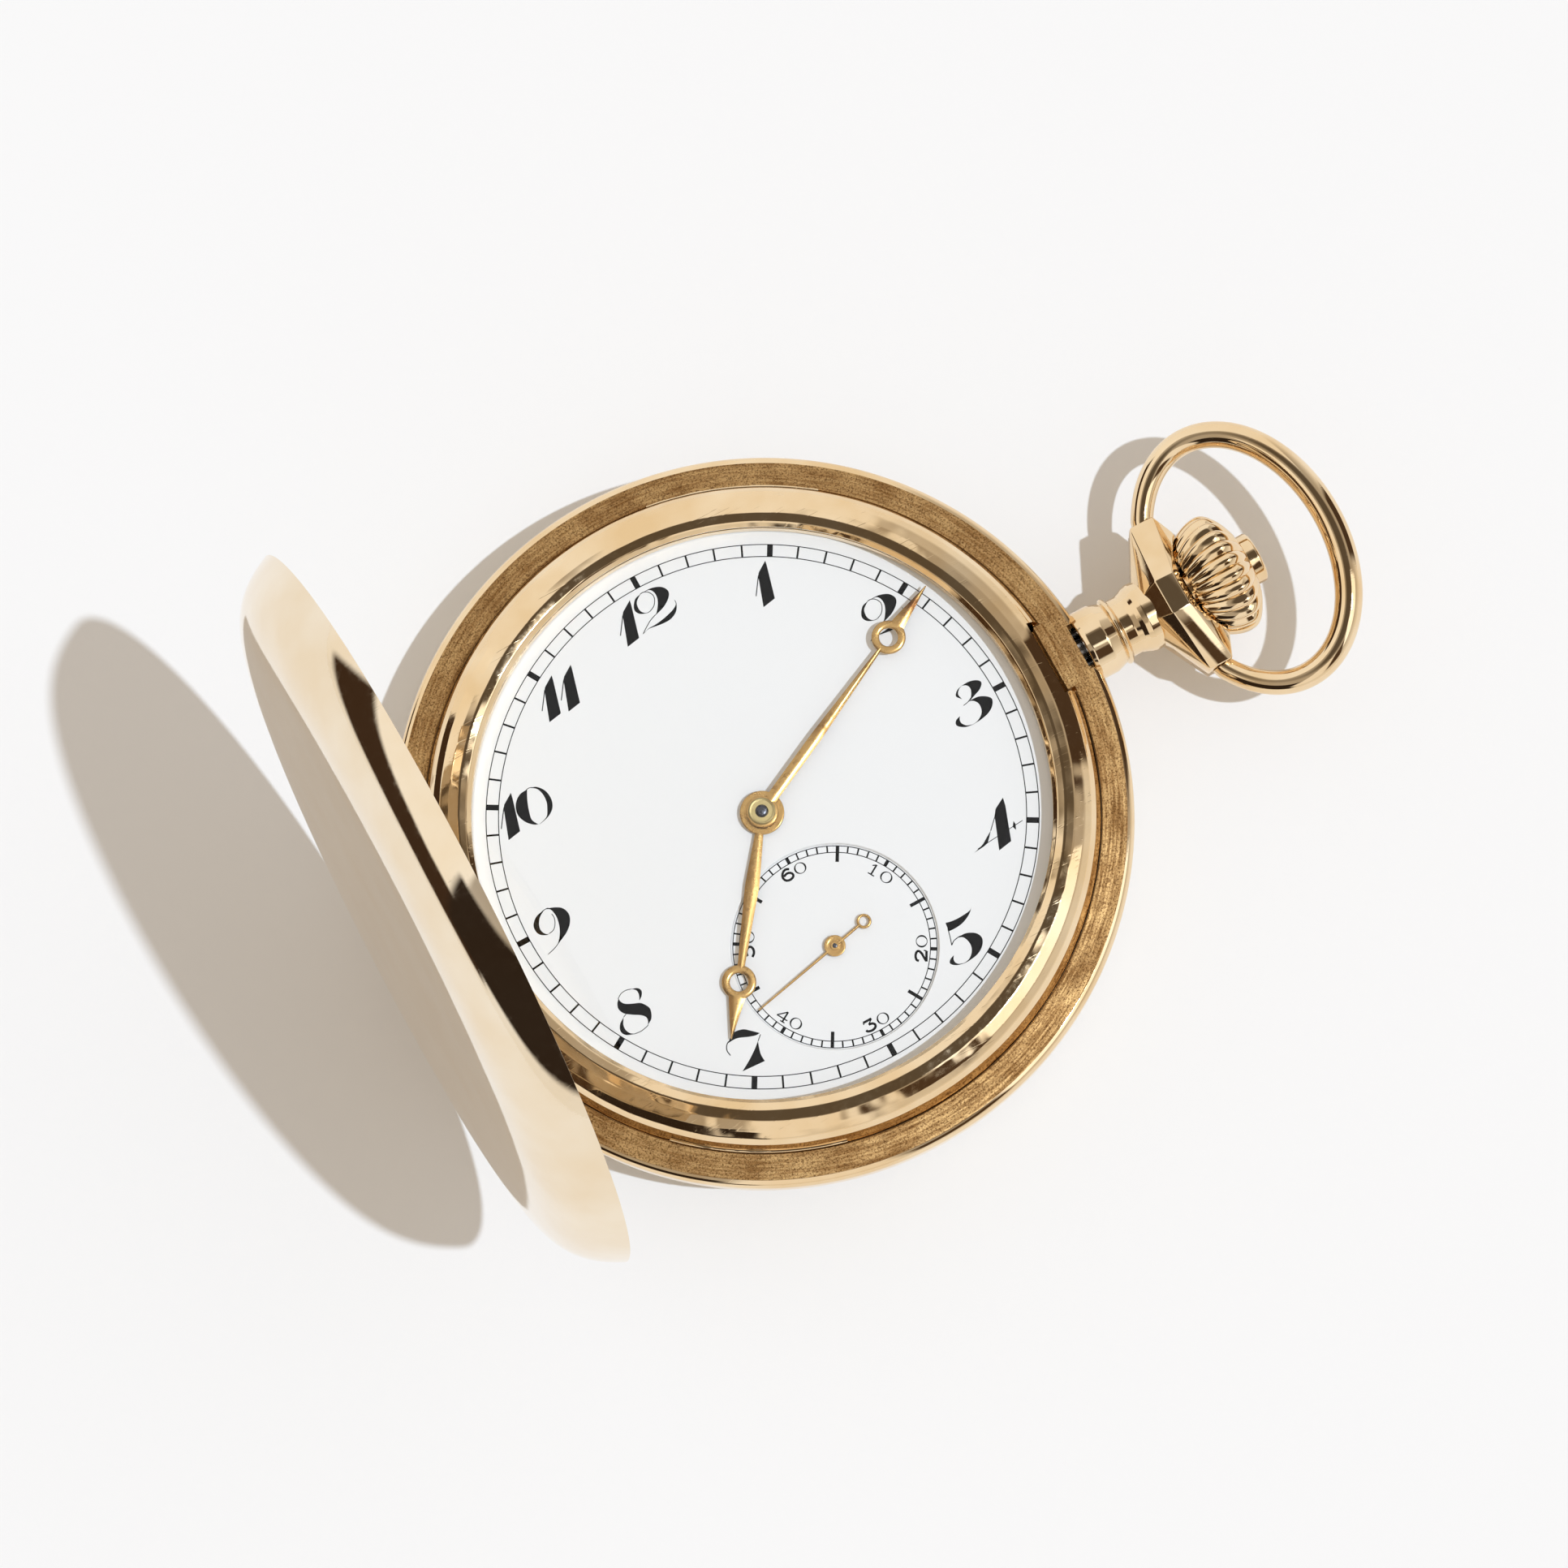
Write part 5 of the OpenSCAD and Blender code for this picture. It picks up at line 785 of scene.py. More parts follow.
# numerals: each is made of blades, which lie between two curves, and of hairlines with a half width
one = {
    "blades": [
        ([(0.72, 2.1), (0.0, 0.0)], [(1.62, 2.5), (1.0, 0.18)]),
        ([(0.72, 2.1), (0.88, 2.36)], [(1.62, 2.5), (1.7, 2.9)])],
    "hairs": [
        ([(-0.08, 0.95), (0.78, 2.2)], 0.035)]}
two = {
    "blades": [
        ([(0.0, 2.63), (-0.55, 2.45), (-0.93, 1.85), (-0.75, 1.4), (-0.25, 1.18), (0.0, 1.18)],
          [(0.0, 2.63), (-0.5, 2.25), (-0.63, 1.8), (-0.55, 1.45), (-0.3, 1.23), (0.0, 1.22)]),
        ([(0.15, 2.65), (0.85, 2.63), (1.5, 2.38), (1.8, 1.9), (1.6, 1.45), (1.05, 1.05), (0.5, 0.85),
          (0.15, 0.75)], [(0.15, 2.63), (0.65, 2.58), (0.87, 2.3), (0.9, 1.9), (0.77, 1.5), (0.55, 1.15),
          (0.35, 0.9), (0.15, 0.75)]),
        ([(-1.2, -0.02), (-0.7, 0.12), (-0.15, 0.05), (0.45, -0.02), (1.05, 0.02), (1.6, 0.32),
          (1.9, 0.85), (1.87, 1.15)], [(-1.2, 0.0), (-0.65, 0.16), (-0.15, 0.17), (0.45, 0.25),
          (1.0, 0.38), (1.5, 0.55), (1.83, 0.8), (1.87, 1.15)])],
    "hairs": [
        ([(0.0, 1.2), (0.4, 1.4), (0.67, 1.8), (0.71, 2.15), (0.5, 2.5), (0.2, 2.64), (-0.05, 2.62)],
          0.028),
        ([(0.2, 0.8), (-0.3, 0.6), (-0.75, 0.32), (-1.2, 0.0)], 0.028)]}
three = {
    "blades": [
        ([(1.24, 1.97), (0.97, 2.35), (1.27, 2.7), (1.72, 2.82)], [(1.24, 1.97), (1.17, 2.4),
          (1.42, 2.7), (1.72, 2.81)]),
        ([(1.72, 2.83), (2.32, 2.83), (2.82, 2.65), (3.0, 2.35), (2.67, 2.0), (2.12, 1.78),
          (1.72, 1.62)], [(1.72, 2.81), (2.02, 2.65), (2.12, 2.35), (2.02, 2.05), (1.87, 1.82),
          (1.72, 1.66), (1.62, 1.6)]),
        ([(1.62, 1.62), (2.32, 1.58), (2.87, 1.3), (3.09, 0.95), (2.82, 0.5), (2.32, 0.2), (1.62, 0.05),
          (1.02, 0.02)], [(1.62, 1.6), (1.92, 1.45), (2.12, 1.1), (2.07, 0.65), (1.87, 0.35),
          (1.52, 0.12), (1.25, 0.05), (1.02, 0.04)]),
        ([(1.02, 0.02), (0.52, 0.1), (0.12, 0.35), (0.0, 0.6), (0.17, 0.85), (0.54, 0.98)],
          [(1.02, 0.04), (0.62, 0.18), (0.4, 0.45), (0.37, 0.65), (0.42, 0.82), (0.54, 0.98)])],
    "hairs": [
        ([(1.82, 1.75), (1.52, 1.6), (1.12, 1.52)], 0.025),
        ([(1.12, 1.52), (1.62, 1.61)], 0.02)]}
four = {
    "blades": [
        ([(2.5, 2.3), (1.6, 0.0)], [(3.5, 2.55), (2.65, 0.18)]),
        ([(2.5, 2.3), (2.8, 2.7)], [(3.5, 2.55), (3.63, 3.15)]),
        ([(1.75, 1.5), (1.25, 1.2), (0.75, 0.9), (0.0, 0.68)], [(1.75, 1.5), (1.4, 1.1), (1.0, 0.8),
          (0.0, 0.68)]),
        ([(3.47, 1.35), (3.5, 1.1)], [(3.23, 1.0), (3.33, 0.7)])],
    "hairs": [
        ([(2.65, 2.4), (1.75, 1.5)], 0.03),
        ([(0.35, 0.8), (4.05, 1.08)], 0.025)]}
five = {
    "blades": [
        ([(1.08, 3.11), (1.53, 3.01), (2.08, 2.98), (2.78, 3.03), (3.08, 3.13), (3.33, 3.43)],
          [(1.0, 2.48), (1.53, 2.46), (2.08, 2.53), (2.58, 2.73), (2.98, 3.0), (3.33, 3.43)]),
        ([(1.38, 1.81), (1.98, 1.8), (2.58, 1.48), (2.8, 0.98), (2.53, 0.48), (1.98, 0.13),
          (1.28, 0.01), (0.88, 0.0)], [(1.38, 1.78), (1.68, 1.63), (1.86, 1.18), (1.83, 0.73),
          (1.63, 0.38), (1.33, 0.13), (1.1, 0.06), (0.88, 0.03)]),
        ([(0.88, 0.0), (0.38, 0.13), (0.08, 0.33), (0.0, 0.53), (0.18, 0.73), (0.5, 0.85)],
          [(0.88, 0.03), (0.53, 0.15), (0.36, 0.33), (0.33, 0.53), (0.38, 0.68), (0.5, 0.85)])],
    "hairs": [
        ([(1.03, 2.68), (0.88, 2.08), (0.71, 1.53)], 0.03),
        ([(0.71, 1.53), (0.98, 1.73), (1.38, 1.81), (1.58, 1.81)], 0.03)]}
seven = {
    "blades": [
        ([(0.15, 2.37), (0.45, 2.62), (0.8, 2.77), (1.4, 2.67), (1.85, 2.32), (2.32, 1.87)],
          [(0.05, 2.3), (0.5, 2.33), (0.9, 2.27), (1.5, 2.02), (2.0, 1.87), (2.32, 1.87)]),
        ([(1.95, 1.45), (1.5, 1.07), (0.8, 0.57), (0.0, 0.1)], [(1.95, 1.45), (1.8, 1.02), (1.68, 0.52),
          (1.7, 0.0)])],
    "hairs": [
        ([(-0.2, 1.47), (-0.25, 1.87), (-0.1, 2.2), (0.15, 2.4)], 0.035),
        ([(2.32, 1.77), (1.95, 1.44)], 0.028)]}
eight = {
    "blades": [
        ([(0.95, 2.75), (0.72, 2.5), (0.6, 2.1), (0.8, 1.65), (1.3, 1.28), (1.75, 1.0), (2.02, 0.7),
          (2.0, 0.4), (1.85, 0.15)], [(0.95, 2.75), (0.98, 2.48), (1.2, 2.2), (1.7, 1.95), (2.15, 1.75),
          (2.45, 1.35), (2.53, 1.0), (2.3, 0.45), (1.85, 0.15)]),
        ([(2.05, 2.92), (2.45, 2.77), (2.6, 2.47), (2.45, 2.17), (2.2, 1.97)], [(2.05, 2.92),
          (2.3, 2.67), (2.33, 2.42), (2.27, 2.17), (2.15, 1.97)]),
        ([(0.65, 1.44), (0.2, 1.12), (0.0, 0.67), (0.2, 0.27), (0.75, 0.04)], [(0.65, 1.44),
          (0.4, 1.02), (0.35, 0.62), (0.5, 0.27), (0.8, 0.04)])],
    "hairs": [
        ([(0.9, 2.74), (1.25, 2.97), (1.65, 3.02), (2.05, 2.92)], 0.025),
        ([(0.75, 0.05), (1.25, 0.0), (1.65, 0.07), (1.9, 0.14)], 0.025),
        ([(0.65, 1.44), (0.9, 1.55)], 0.025)]}
nine = {
    "blades": [
        ([(1.2, 2.9), (0.55, 2.75), (0.1, 2.35), (0.0, 1.9), (0.15, 1.5), (0.55, 1.25), (0.8, 1.25)],
          [(1.2, 2.88), (0.75, 2.6), (0.45, 2.2), (0.35, 1.8), (0.45, 1.45), (0.65, 1.27), (0.8, 1.26)]),
        ([(1.35, 2.9), (1.85, 2.75), (2.4, 2.4), (2.6, 1.8), (2.35, 1.2), (1.85, 0.75), (1.25, 0.45),
          (0.85, 0.25)], [(1.35, 2.88), (1.63, 2.7), (1.75, 2.2), (1.7, 1.7), (1.55, 1.2), (1.3, 0.75),
          (1.1, 0.5), (0.85, 0.25)])],
    "hairs": [
        ([(0.75, 1.25), (1.15, 1.35), (1.45, 1.7), (1.58, 2.1), (1.55, 2.4)], 0.025),
        ([(1.05, 2.87), (1.35, 2.9), (1.55, 2.88)], 0.025),
        ([(0.95, 0.32), (0.55, 0.15), (0.0, 0.0)], 0.025)]}
zero = {
    "blades": [
        ([(1.4, 2.6), (0.8, 2.53), (0.25, 2.08), (0.0, 1.38), (0.2, 0.68), (0.65, 0.18), (1.1, 0.0)],
          [(1.4, 2.58), (1.1, 1.98), (0.85, 1.28), (0.7, 0.58), (0.9, 0.13), (1.0, 0.04), (1.1, 0.02)]),
        ([(1.65, 2.6), (2.1, 2.43), (2.5, 1.88), (2.58, 1.18), (2.35, 0.58), (1.8, 0.18), (1.1, 0.0)],
          [(1.65, 2.6), (2.05, 2.28), (2.22, 1.78), (2.2, 1.18), (2.0, 0.68), (1.7, 0.23), (1.1, 0.02)])],
    "hairs": [
        ([(1.3, 2.58), (1.55, 2.63), (1.8, 2.56)], 0.025)]}


def smoothCurve(points, count):
    # Catmull-Rom through the points, at even steps of its parameter
    pts = np.array(points, dtype=float)
    if len(pts) == 2:
        return pts[0] + (pts[1] - pts[0]) * np.linspace(0, 1, count)[:, None]
    ext = np.vstack([2 * pts[0] - pts[1], pts, 2 * pts[-1] - pts[-2]])
    t = np.linspace(0, len(pts) - 1 - 1e-9, count)
    i = t.astype(int)
    f = (t - i)[:, None]
    a, b, c, d = ext[i], ext[i + 1], ext[i + 2], ext[i + 3]
    square, cube = 2 * a - 5 * b + 4 * c - d, 3 * b - a - 3 * c + d
    return 0.5 * (2 * b + (c - a) * f + square * f ** 2 + cube * f ** 3)


def stripBetween(first, second):
    # quads between two lines of as many points
    count = len(first)
    i = np.arange(count - 1)
    return np.vstack([first, second]), np.stack([i, i + 1, i + 1 + count, i + count], 1)


def hairStrip(points, half, count=20):
    # a smooth line with the half width to each side of it
    line = smoothCurve(points, count)
    way = np.gradient(line, axis=0)
    way /= np.linalg.norm(way, axis=1)[:, None]
    side = np.stack([-way[:, 1], way[:, 0]], 1) * half
    return stripBetween(line - side, line + side)


def glyphStrips(glyph, place):
    # the middle of the glyph's box is put at the place
    strips = [stripBetween(smoothCurve(a, 28), smoothCurve(b, 28)) for a, b in glyph["blades"]]
    strips += [hairStrip(points, half) for points, half in glyph["hairs"]]
    every = np.vstack([verts for verts, faces in strips])
    middle = (every.min(0) + every.max(0)) / 2
    return [(verts - middle + np.array(place), faces) for verts, faces in strips]


def ringStrip(radius, half, centre=(0.0, 0.0), count=360):
    # a circle's line with the half width to each side
    a = np.linspace(0, 2 * math.pi, count + 1)
    ring = np.stack([np.cos(a), np.sin(a)], 1)
    return stripBetween(centre + ring * (radius - half), centre + ring * (radius + half))


def tickStrip(angle, r0, r1, half, centre=(0.0, 0.0)):
    # a radial tick, its angle clockwise from twelve
    a = math.radians(angle)
    way, side = np.array([math.sin(a), math.cos(a)]), np.array([math.cos(a), -math.sin(a)])
    line = np.array(centre) + np.outer([r0, r1], way)
    return stripBetween(line - side * half, line + side * half)


def printOn(name, strips, z):
    # all strips become one flat mesh at height z; each quad is turned to face up
    firsts = np.cumsum([0] + [len(verts) for verts, faces in strips])
    verts = np.vstack([verts for verts, faces in strips])
    faces = np.vstack([strip[1] + first for strip, first in zip(strips, firsts)])
    p = verts[faces]
    area = sum(p[:, i, 0] * p[:, (i + 1) % 4, 1] - p[:, (i + 1) % 4, 0] * p[:, i, 1] for i in range(4))
    faces = np.where(area[:, None] < 0, faces[:, ::-1], faces)[np.abs(area) > 1e-9]
    mesh = bpy.data.meshes.new(name)
    mesh.from_pydata((np.column_stack([verts, np.full(len(verts), z)]) * mm).tolist(), [], faces.tolist())
    thing = addThing(name, mesh, ["ink"])
    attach(thing, "case")


# the minute track, and each numeral with the middle of its box; the seconds dial takes the six's place
track = {"inner": 18.40, "outer": 19.27, "line": 0.032, "tick": 0.068, "bold": 0.2, "lift": 0.006}
hours = [(one, (-1.83, 16.45)), (two, (0.31, 16.63)), (one, (7.88, 14.38)), (two, (14.08, 8.5)),
         (three, (16.43, -0.07)), (four, (13.65, -8.6)), (five, (8.08, -14.25)), (seven, (-8.75, -13.95)),
         (eight, (-14.55, -7.91)), (nine, (-16.45, -0.15)), (one, (-15.6, 8.28)), (zero, (-13.71, 8.12)),
         (one, (-9.18, 14.32)), (one, (-7.65, 14.35))]
strips = [ringStrip(track["inner"], track["line"]), ringStrip(track["outer"], track["line"])]
strips += [tickStrip(6 * k, track["inner"], track["outer"], track["bold"] if k % 5 == 0 else track["tick"])
           for k in range(60)]
for glyph, place in hours:
    strips += glyphStrips(glyph, place)
printOn("dialPrint", strips, dialZ + track["lift"])

# the seconds track, with light numerals of plain strokes in a cell 0.9 wide and 0.8 high
small = {"outer": 7.08, "inner": 6.62, "line": 0.03, "tick": 0.056, "bold": 0.12, "longIn": 5.95,
         "numeralR": 6.0, "cell": 1.02, "middle": (0.45, 0.4), "thin": 0.042, "upright": 0.06,
         "thick": 0.085}
thin, upright, thick = small["thin"], small["upright"], small["thick"]
tens = {
    60: [([(0.76, 0.7), (0.52, 0.8), (0.24, 0.68), (0.08, 0.38), (0.18, 0.1), (0.45, 0.0), (0.74, 0.08),
           (0.82, 0.26), (0.7, 0.44), (0.45, 0.5), (0.18, 0.4)], thick)],
    10: [([(0.45, 0.0), (0.45, 0.8)], upright), ([(0.22, 0.62), (0.45, 0.79)], thin),
         ([(0.2, 0.02), (0.7, 0.02)], thin)],
    20: [([(0.1, 0.56), (0.16, 0.72), (0.42, 0.8), (0.7, 0.74), (0.78, 0.58), (0.62, 0.38), (0.32, 0.2),
           (0.08, 0.04)], thick), ([(0.06, 0.04), (0.8, 0.05)], thick), ([(0.8, 0.04), (0.84, 0.24)], thin)],
    30: [([(0.12, 0.77), (0.76, 0.77)], thick), ([(0.12, 0.77), (0.1, 0.62)], thin),
         ([(0.76, 0.77), (0.4, 0.48)], thin),
         ([(0.4, 0.48), (0.66, 0.44), (0.8, 0.26), (0.68, 0.08), (0.4, 0.02), (0.12, 0.1),
           (0.06, 0.22)], thick)],
    40: [([(0.6, 0.8), (0.04, 0.26)], thin), ([(0.02, 0.25), (0.86, 0.25)], thin),
         ([(0.6, 0.8), (0.6, 0.0)], upright), ([(0.42, 0.02), (0.78, 0.02)], thin)],
    50: [([(0.2, 0.77), (0.74, 0.77)], thick), ([(0.2, 0.77), (0.14, 0.44)], thin),
         ([(0.14, 0.44), (0.4, 0.52), (0.7, 0.44), (0.8, 0.26), (0.64, 0.06), (0.36, 0.0),
           (0.08, 0.1)], thick)],
}


def smallStrips(parts, place, turn):
    # the strips, laid out in their cell, are turned and put with the cell's middle at the place
    c, d = math.cos(math.radians(turn)), math.sin(math.radians(turn))
    spin = np.array([[c, d], [-d, c]])
    return [((verts - small["middle"]) @ spin + place, faces) for verts, faces in parts]


def noughtStrips():
    # an oval ring, heavier at its sides
    a = np.linspace(0, 2 * math.pi, 49)
    ring = np.stack([np.cos(a), np.sin(a)], 1)
    return [stripBetween(small["middle"] + ring * [0.32, 0.355], small["middle"] + ring * [0.44, 0.4])]


strips = [ringStrip(small[r], small["line"], case["secondsAt"]) for r in ("inner", "outer")]
for k in range(60):
    start = small["longIn"] if k % 10 == 5 else small["inner"]
    strips.append(tickStrip(6 * k, start, small["outer"], small["bold"] if k % 5 == 0 else small["tick"],
                            case["secondsAt"]))
for mark, strokes in tens.items():
    angle = mark * 6 % 360
    turn = -angle if mark in (60, 10, 50) else 180 - angle
    a, b = math.radians(angle), math.radians(turn)
    centre = np.array(case["secondsAt"]) + small["numeralR"] * np.array([math.sin(a), math.cos(a)])
    along = np.array([math.cos(b), math.sin(b)]) * small["cell"] / 2
    strips += smallStrips([hairStrip(points, half) for points, half in strokes], centre - along, turn)
    strips += smallStrips(noughtStrips(), centre + along, turn)
printOn("secondsPrint", strips, lowZ + track["lift"])
print("dial printed")

# ---- hands: blades with a low arched back, an open ring and a pointed tip, on turned bosses
hands = {"thick": 0.2, "secondsThick": 0.13, "hourZ": 8.62, "minuteZ": 9.07, "secondsZ": 8.32,
         "hourAngle": 216.0, "minuteAngle": 64.0, "secondsAngle": 258.0,
         # brown stains: place along the hand, width, strength
         "hourStain": [(4.5, 1.5, 0.5), (8.5, 1.2, 0.35), (15.2, 1.0, 0.5)],
         "minuteStain": [(7.6, 1.2, 0.8), (12.5, 1.2, 0.5), (18.0, 1.4, 1.0)],
         "secondsStain": [(0.0, 0.6, 0.3)]}


def markStain(thing, stain):
    # each stain fades along the hand as a bell curve; the strongest counts
    y = pointsOf(thing)[1] / mm
    value = np.zeros(len(y))
    for at, width, strength in stain:
        value = np.maximum(value, strength * np.exp(-((y - at) / width) ** 2))
    thing.data.attributes.new("stain", "FLOAT", "POINT").data.foreach_set("value", value)
    return thing


def domedBlade(stations, thick, name, stain):
    # half widths along +Y, with a low arched back: height falls off as a cosine across the width
    rows, across = 120, 13
    y, w = np.array(stations, dtype=float).T
    fine = np.linspace(y[0], y[-1], rows)
    half = np.interp(fine, y, w)
    v = np.linspace(-1, 1, across)
    high = thick * (0.45 + 0.55 * np.cos(v * math.pi / 2))
    long = np.repeat(fine[:, None], across, 1)
    top = np.stack([half[:, None] * v, long, np.repeat(high[None], rows, 0)], -1)
    low = np.stack([half[:, None] * v[::-1], long, np.zeros((rows, across))], -1)
    n, last = 2 * across, (rows - 1) * 2 * across
    faces = quadGrid(rows - 1, rows, n, n).tolist() + [list(range(n))[::-1], list(range(last, last + n))]
    verts = np.concatenate([top, low], 1).reshape(-1, 3)
    return markStain(meshPiece(name, verts, faces, "hand", None, 45), stain)


def openRing(at, outer, inner, thick, stain, name):
    # a ring with a rounded back
    a = np.linspace(0, math.pi, 13)
    middle, half = (outer + inner) / 2, (outer - inner) / 2
    back = np.stack([middle + half * np.cos(a), thick * (0.35 + 0.65 * np.sin(a))], 1)
    outline = np.vstack([back, [[inner, 0.0], [outer, 0.0]]])
    return markStain(moved(turned(outline, 72, "hand", name), 0, at), stain)


def boss(outline, name, metal="hand"):
    # an unstained turned piece on the hand's own axis
    return markStain(turned(softPath(outline), 96, metal, name), [])


def placedHand(name, parts, angle, z, place=(0.0, 0.0)):
    # modelled pointing to twelve, turned clockwise and put on its post
    c, s = math.cos(math.radians(-angle)), math.sin(math.radians(-angle))
    px, py = place
    hand = laidBy(lambda x, y, up: (x * c - y * s + px * mm, x * s + y * c + py * mm, up + z * mm),
                  joined(name, parts))
    hand.data.shade_smooth()
    hand.data.set_sharp_from_angle(angle=math.radians(45))
    return hand


t, stain = hands["thick"], hands["hourStain"]
hourHand = placedHand("hourHand", [
    domedBlade([(1.2, 0.25), (1.55, 0.3), (5.2, 0.5), (11.1, 0.24)], t, "hourBlade", stain),
    domedBlade([(12.85, 0.62), (13.4, 0.52), (16.0, 0.04)], t, "hourTip", stain),
    openRing(12.0, 1.2, 0.64, t, stain, "hourRing"),
    boss([(0.98, 0), (1.55, 0), (1.55, t, 0.08), (0.98, t, 0.04)], "hourBoss")],
    hands["hourAngle"], hands["hourZ"])
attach(hourHand, "hour_body")
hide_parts("hour_hand")
stain = hands["minuteStain"]
minuteHand = placedHand("minuteHand", [
    domedBlade([(0.9, 0.4), (1.15, 0.4), (6.4, 0.4), (14.3, 0.13)], t, "minuteBlade", stain),
    domedBlade([(16.05, 0.54), (16.6, 0.46), (19.7, 0.04)], t, "minuteTip", stain),
    openRing(15.2, 1.2, 0.66, t, stain, "minuteRing"),
    boss([(0.46, -0.2), (1.0, -0.2, 0.05), (1.0, 0.0), (1.12, 0.0), (1.12, t * 0.8, 0.08), (0.8, t, 0.08),
          (0.46, t, 0.02)], "minuteBoss"),
    boss([(0.44, 0.1), (0.95, 0.1), (0.95, 0.3, 0.05), (0.86, 0.4, 0.04), (0.76, 0.36, 0.04),
          (0.44, 0.36, 0.02)], "minuteCollet", "collet"),
    boss([(0, 0.0), (0.46, 0.0), (0.46, 0.36, 0.05), (0.36, 0.52, 0.2), (0, 0.6)], "handPin", "pin")],
    hands["minuteAngle"], hands["minuteZ"])
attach(minuteHand, "centre_body")
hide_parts("minute_hand")
t, stain = hands["secondsThick"], hands["secondsStain"]
secondsHand = placedHand("secondsHand", [
    domedBlade([(-2.2, 0.09), (0.0, 0.1), (6.9, 0.055)], t, "secondsBlade", stain),
    openRing(-2.65, 0.52, 0.32, t, stain, "secondsRing"),
    boss([(0.14, 0), (0.75, 0), (0.75, 0.11, 0.04), (0.52, 0.13), (0.46, 0.1, 0.02), (0.34, 0.1, 0.02),
          (0.3, 0.16, 0.03), (0.14, 0.16, 0.02)], "secondsBoss"),
    boss([(0, 0.02), (0.17, 0.02), (0.17, 0.18, 0.03), (0, 0.21)], "secondsPin", "pin")],
    hands["secondsAngle"], hands["secondsZ"], case["secondsAt"])
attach(secondsHand, "fourth_body")
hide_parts("seconds_hand")
print("hands made")

# ---- the movement keeps its CAD meshes and gets its metals
dressing = {
    "steel": ["winding_stem", "winding_pinion", "sliding_pinion", "push_sleeve", "lift_spring",
              "setting_lever", "yoke", "barrel_arbor", "mainspring", "ratchet_wheel", "crown_wheel", "click",
              "click_spring", "cannon_pinion", "escape_wheel", "pallet_fork", "balance_staff", "regulator"],
    "seatGold": ["lock_spring"],
    "blued": ["bridge_screws", "case_screws", "lock_spring_screw", "hairspring"],
    "nickel": ["barrel_bridge", "train_bridge", "balance_cock", "pallet_cock"],
    "gilt": ["main_plate", "barrel_cover", "barrel_drum"],
    "wheel": ["hour_wheel", "minute_wheel", "setting_wheel", "centre_wheel", "third_wheel", "fourth_wheel",
              "balance_wheel"],
    "copper": ["dial_feet"], "ruby": ["jewels"],
    "caseGold": ["front_hinge_pin", "back_hinge_pin", "cuvette_hinge_pin"],
}
for key, names in dressing.items():
    for name in names:
        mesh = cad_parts[name].data
        mesh.materials.clear()
        mesh.materials.append(look[key])
print("movement dressed:", sum(len(names) for names in dressing.values()), "nodes")

# ---- camera, light and floor as in the photograph; a panel is a soft-edged rectangle of the mirrored room:
# turn round Z, lean from overhead, half width, half height, soft margin (degrees), and its light
studio = {
    "lens": 109.006, "sensor": 36, "place": (-20.0748, -56.4489, 333.8364),
    "turn": (10.66695, 1.35193, -28.40742),
    "sunWay": (0.35, -0.33, 1.0), "sun": 1.96, "sunWidth": 1.2, "sunColour": (0.79, 0.885, 1.0),
    "fill": 0.59, "fillColour": (1.0, 0.9, 0.79, 1), "backdrop": (0.93, 0.93, 0.935, 1), "floorReach": 3000.0,
    "walls": (0.90, 0.88, 0.85, 1), "ceiling": (0.46, 0.42, 0.37, 1),
    "panels": [(0, 0, 180, 19, 12, (0.11, 0.09, 0.07, 1)), (-45, 35, 24, 14, 4, (1.4, 1.4, 1.4, 1)),
               (85, 60, 38, 28, 6, (0.97, 0.95, 0.92, 1)), (150, 50, 34, 13, 4, (1.0, 0.97, 0.92, 1)),
               (158, 76, 33, 9, 4, (0.05, 0.028, 0.016, 1)), (210, 65, 27, 16, 4, (0.03, 0.02, 0.014, 1)),
               (3, 66, 11, 20, 6, (0.07, 0.045, 0.03, 1)), (-80, 50, 9, 13, 4, (0.08, 0.05, 0.03, 1)),
               (-110, 50, 14, 18, 5, (0.95, 0.92, 0.88, 1))]}
lens = bpy.data.cameras.new("photoCamera")
lens.lens, lens.sensor_width = studio["lens"], studio["sensor"]
camera = addThing("photoCamera", lens)
camera.location = [v * mm for v in studio["place"]]
camera.rotation_euler = Euler([math.radians(v) for v in studio["turn"]])
bpy.context.scene.camera = camera

lamp = bpy.data.lights.new("sun", "SUN")
lamp.energy, lamp.angle, lamp.color = studio["sun"], math.radians(studio["sunWidth"]), studio["sunColour"]
sunX, sunY, sunZ = studio["sunWay"]
addThing("sun", lamp).rotation_euler = Euler((math.atan2(math.hypot(sunX, sunY), sunZ), 0,
                                              math.atan2(sunY, sunX) + math.pi / 2))

world = bpy.data.worlds.new("studio")
bpy.context.scene.world = world
world.use_nodes = True
sky = world.node_tree
sky.nodes.clear()
skyWay = addNode(sky, "TexCoord")["Generated"]
skyHigh = addNode(sky, "SeparateXYZ", {0: skyWay})[2]
skyLean = addNode(sky, "Math", {0: skyHigh}, operation="ARCCOSINE")[0]


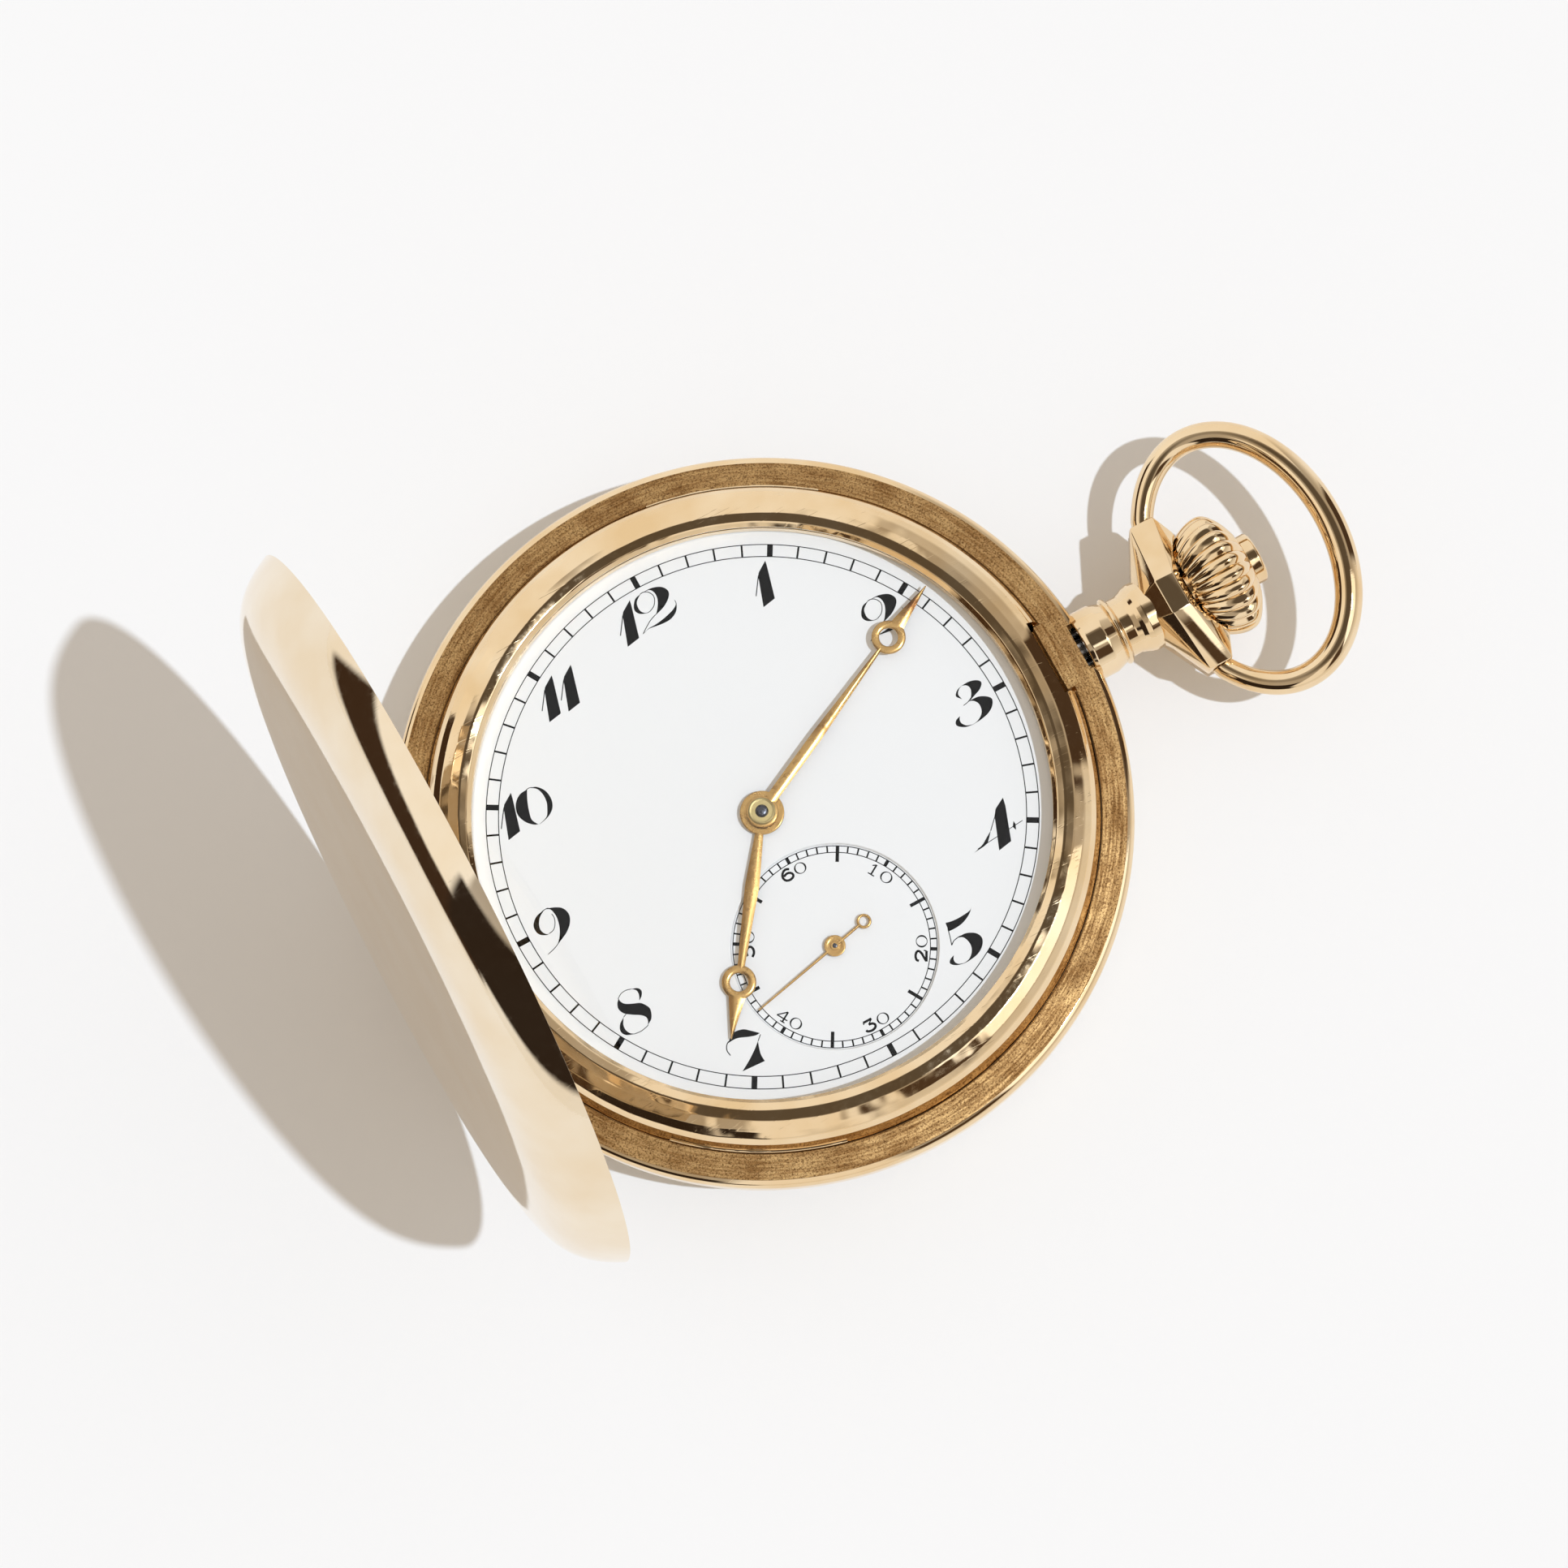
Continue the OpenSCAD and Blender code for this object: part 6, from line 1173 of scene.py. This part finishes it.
def within(value, middle, half, soft):
    # 1 inside middle +- half, fading out over the soft margin; degrees against a value in radians
    middle, half, soft = math.radians(middle), math.radians(half), math.radians(soft)
    away = addNode(sky, "Math", {0: value, 1: middle}, operation="SUBTRACT")[0]
    away = addNode(sky, "Math", {0: away}, operation="ABSOLUTE")[0]
    return addNode(sky, "MapRange", {"Value": away, 1: half + soft, 2: half},
                   interpolation_type="SMOOTHSTEP")[0]


def panel(azimuth, lean, halfWide, halfHigh, soft):
    # how far a direction of the room lies inside the panel
    spun = addNode(sky, "VectorRotate", {"Vector": skyWay, "Angle": -math.radians(azimuth)},
                   rotation_type="Z_AXIS")[0]
    x, y, z = addNode(sky, "SeparateXYZ", {0: spun})
    turn = addNode(sky, "Math", {0: y, 1: x}, operation="ARCTAN2")[0]
    wide, high = within(turn, 0.0, halfWide, soft), within(skyLean, lean, halfHigh, soft)
    return addNode(sky, "Math", {0: wide, 1: high}, operation="MULTIPLY")[0]


# what metal mirrors: a pale room with a soft lamp beside the sun, dark doorways and the dark camera overhead
upward = addNode(sky, "MapRange", {"Value": skyHigh, 1: 0.1, 2: 0.75})[0]
mirrored = addNode(sky, "Mix", {0: upward, 6: studio["walls"], 7: studio["ceiling"]}, data_type="RGBA")[2]
for *edges, colour in studio["panels"]:
    mirrored = addNode(sky, "Mix", {0: panel(*edges), 6: mirrored, 7: colour}, data_type="RGBA")[2]
fillLight = addNode(sky, "Background", {"Color": studio["fillColour"], "Strength": studio["fill"]})[0]
mirrorLight = addNode(sky, "Background", {"Color": mirrored})[0]
backdrop = addNode(sky, "Background", {"Color": studio["backdrop"]})[0]
path = addNode(sky, "LightPath")
seen = addNode(sky, "Math", {0: path["Is Camera Ray"], 1: path["Is Transmission Ray"]},
               operation="MAXIMUM")[0]
unseen = addNode(sky, "MixShader", {0: path["Is Glossy Ray"], 1: fillLight, 2: mirrorLight})[0]
addNode(sky, "OutputWorld", {0: addNode(sky, "MixShader", {0: seen, 1: unseen, 2: backdrop})[0]})

reach = studio["floorReach"]
corners = [(-reach, -reach, 0), (reach, -reach, 0), (reach, reach, 0), (-reach, reach, 0)]
meshPiece("floorSheet", corners, [[0, 1, 2, 3]], "paper")
bpy.context.scene.view_settings.view_transform = "Standard"
print("studio set")
